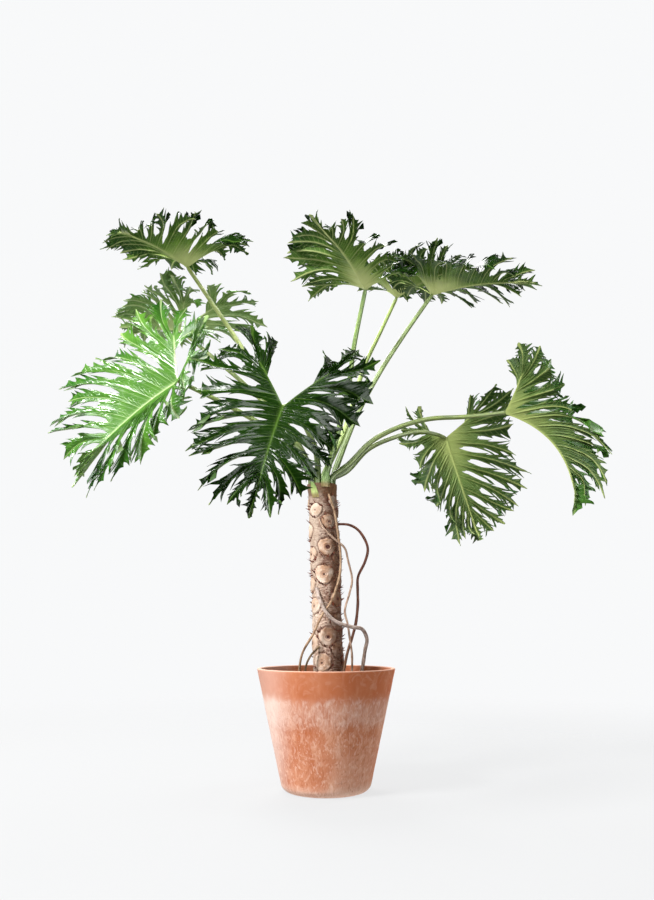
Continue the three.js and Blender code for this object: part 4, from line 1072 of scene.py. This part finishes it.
for number, leaf in enumerate(LEAVES, 1):
    points, normals, faces, fields = blade_surface(leaf, number)
    plan, t, out = fields["plan"], fields["t"][:, 0], fields["out"][:, 0]
    span = np.linalg.norm(np.array(leaf["right"]) - np.array(leaf["left"])) * MM / 2
    u, v = plan[:, 0], plan[:, 1]
    ribs = np.zeros(len(points))
    ridge = np.zeros(len(points))
    for end, thick, thin in (
        ((0.0, 1.0), 2.8 * MM, 0.8 * MM),
        (BACK_RIB, 2.4 * MM, 1.2 * MM),
        (BACK_RIB * (-1, 1), 2.4 * MM, 1.2 * MM),
    ):
        far, share = rib_distance(u, v, np.array(end))
        size = thick + (thin - thick) * share
        near = np.exp(-((far * span / size) ** 2))
        ribs = np.maximum(ribs, near)
        ridge = np.maximum(ridge, near * size)
    across = out * span * 0.16 * (1 - 0.3 * t)
    vein_size = 1.3 * MM * (1 - 0.75 * t)
    ridge = np.maximum(ridge, vein_size * np.exp(-((across / vein_size) ** 2)))
    ridge = np.maximum(ridge, 0.4 * vein_size * np.exp(-(((np.abs(out) - SECOND_VEIN) / 0.05) ** 2)))
    half = BLADE_THICKNESS / 2 * (1 - 0.35 * np.abs(out))
    top = points + normals * half[:, None]
    low = points - normals * (half + ridge)[:, None]
    count = len(points)
    edges = np.concatenate([faces[:, [0, 1]], faces[:, [1, 2]], faces[:, [2, 0]]])
    codes = edges[:, 0] * count + edges[:, 1]
    rim = edges[~np.isin(codes, edges[:, 1] * count + edges[:, 0])]
    wall = np.stack([rim[:, 0], rim[:, 0] + count, rim[:, 1] + count, rim[:, 1]], -1)
    skin = np.concatenate([faces, faces[:, ::-1] + count])
    skin = np.concatenate([np.stack([skin[:, 0], skin[:, 1], skin[:, 2], skin[:, 2]], -1), wall])
    grain = np.stack([across, t * span * 0.9, 0 * t], -1)
    attributes = {
        "above": np.repeat([1.0, 0.0], count),
        "rib": np.tile(ribs, 2),
        "tint": np.tile(fields["tint"][:, 0] + leaf["fresh"], 2),
        "reach": np.tile(np.hypot(u, v), 2),
        "grain": np.tile(grain, (2, 1)),
        "lobe": np.tile(np.abs(out), 2),
    }
    points = np.concatenate([top, low])
    finish, node = blade_finishes[leaf["tone"]], f"blade_{number}"
    add_piece(f"leaf_blade_{number}", points, finish, node, attributes, skin, BLADE_SHARP)

# ----------------------------------------
# Studio. A plain pale floor, soft white light from the upper left, and the camera low in front. Two
# bright panels in the surroundings show only as glints on the glossy leaves.

FLOOR_FADE_START = 0.7
FLOOR_FADE_END = 2.6
STUDIO_WHITE = (0.985, 0.992, 1.0, 1)
floor_finish, shade = new_finish(
    "studio_floor",
    Base_Color=(0.08, 0.08, 0.08, 1),
    Roughness=1.0,
    Specular_IOR_Level=0.0,
    Emission_Color=STUDIO_WHITE,
    Emission_Strength=0.74,
)
away = shade.make("ShaderNodeVectorMath", {0: shade.places()}, result=1, operation="LENGTH")
dress(floor_finish, Alpha=away.step(FLOOR_FADE_END, FLOOR_FADE_START))
bpy.ops.mesh.primitive_plane_add(size=2.2 * FLOOR_FADE_END, location=(0, 0, 0))
floor = bpy.context.object
floor.name = "studio_floor"
floor.data.materials.append(floor_finish)
floor.visible_diffuse = False
floor.visible_glossy = False

BACKDROP = 0.955
MIRROR_DIM = 0.88
PANELS = [((0.28, -0.82, 0.5), 14.0), ((0.58, -0.74, -0.34), 9.0)]
world = bpy.data.worlds.new("studio_world")
world.use_nodes = True
bpy.context.scene.world = world
air = Shade(world.node_tree)
toward = air.make("ShaderNodeTexCoord")
parts = [toward.axis(k) for k in range(3)]
behind = parts[1].step(0.35, 0.9)
upper_left = (parts[2] * 0.4 - parts[0]).step(-0.2, 1.1)
soft = 0.25 + 0.5 * behind + 0.72 * parts[2].step(0.15, -0.6) + 0.3 * upper_left
seen = air.make("ShaderNodeLightPath")
mirrored = air.make("ShaderNodeLightPath", result=3)
panels = 0.0
for way, glare in PANELS:
    near = air.make("ShaderNodeVectorMath", {0: toward, 1: way}, result=1, operation="DOT_PRODUCT")
    panels = near.step(0.85, 0.95) * glare + panels
soft = soft * (1 - MIRROR_DIM * mirrored * (1 - behind)) + mirrored * panels
bright = seen * BACKDROP + (1 - seen) * soft
background = world.node_tree.nodes["Background"]
feed(world.node_tree, background.inputs["Strength"], bright)
feed(world.node_tree, background.inputs["Color"], STUDIO_WHITE)

LIGHT_AIM = np.array([0.0, 0.0, 0.8])
for name, place, size, power in (
    ("key_light", (-2.2, -1.8, 2.95), 1.0, 275),
    ("top_light", (1.6, 0.6, 3.4), 1.2, 60),
    ("back_light", (-0.6, 2.2, 3.0), 1.6, 110),
):
    lamp = bpy.data.lights.new(name, "AREA")
    lamp.size = size
    lamp.energy = power
    light = bpy.data.objects.new(name, lamp)
    light.location = place
    aim = LIGHT_AIM - place
    tilt = math.atan2(math.hypot(aim[0], aim[1]), -aim[2])
    light.rotation_euler = (tilt, 0, math.atan2(-aim[0], aim[1]))
    bpy.context.scene.collection.objects.link(light)

CAMERA_PLACE = (2 * MM, -1813 * MM, 345 * MM)
CAMERA_TILT = 12.8
CAMERA_LENS = 31.2
camera = bpy.data.objects.new("camera", bpy.data.cameras.new("camera"))
camera.location = CAMERA_PLACE
camera.rotation_euler = (math.radians(90 + CAMERA_TILT), 0, 0)
camera.data.lens = CAMERA_LENS
camera.data.clip_start = 0.01
bpy.context.scene.collection.objects.link(camera)
bpy.context.scene.camera = camera
bpy.context.scene.view_settings.view_transform = "Standard"
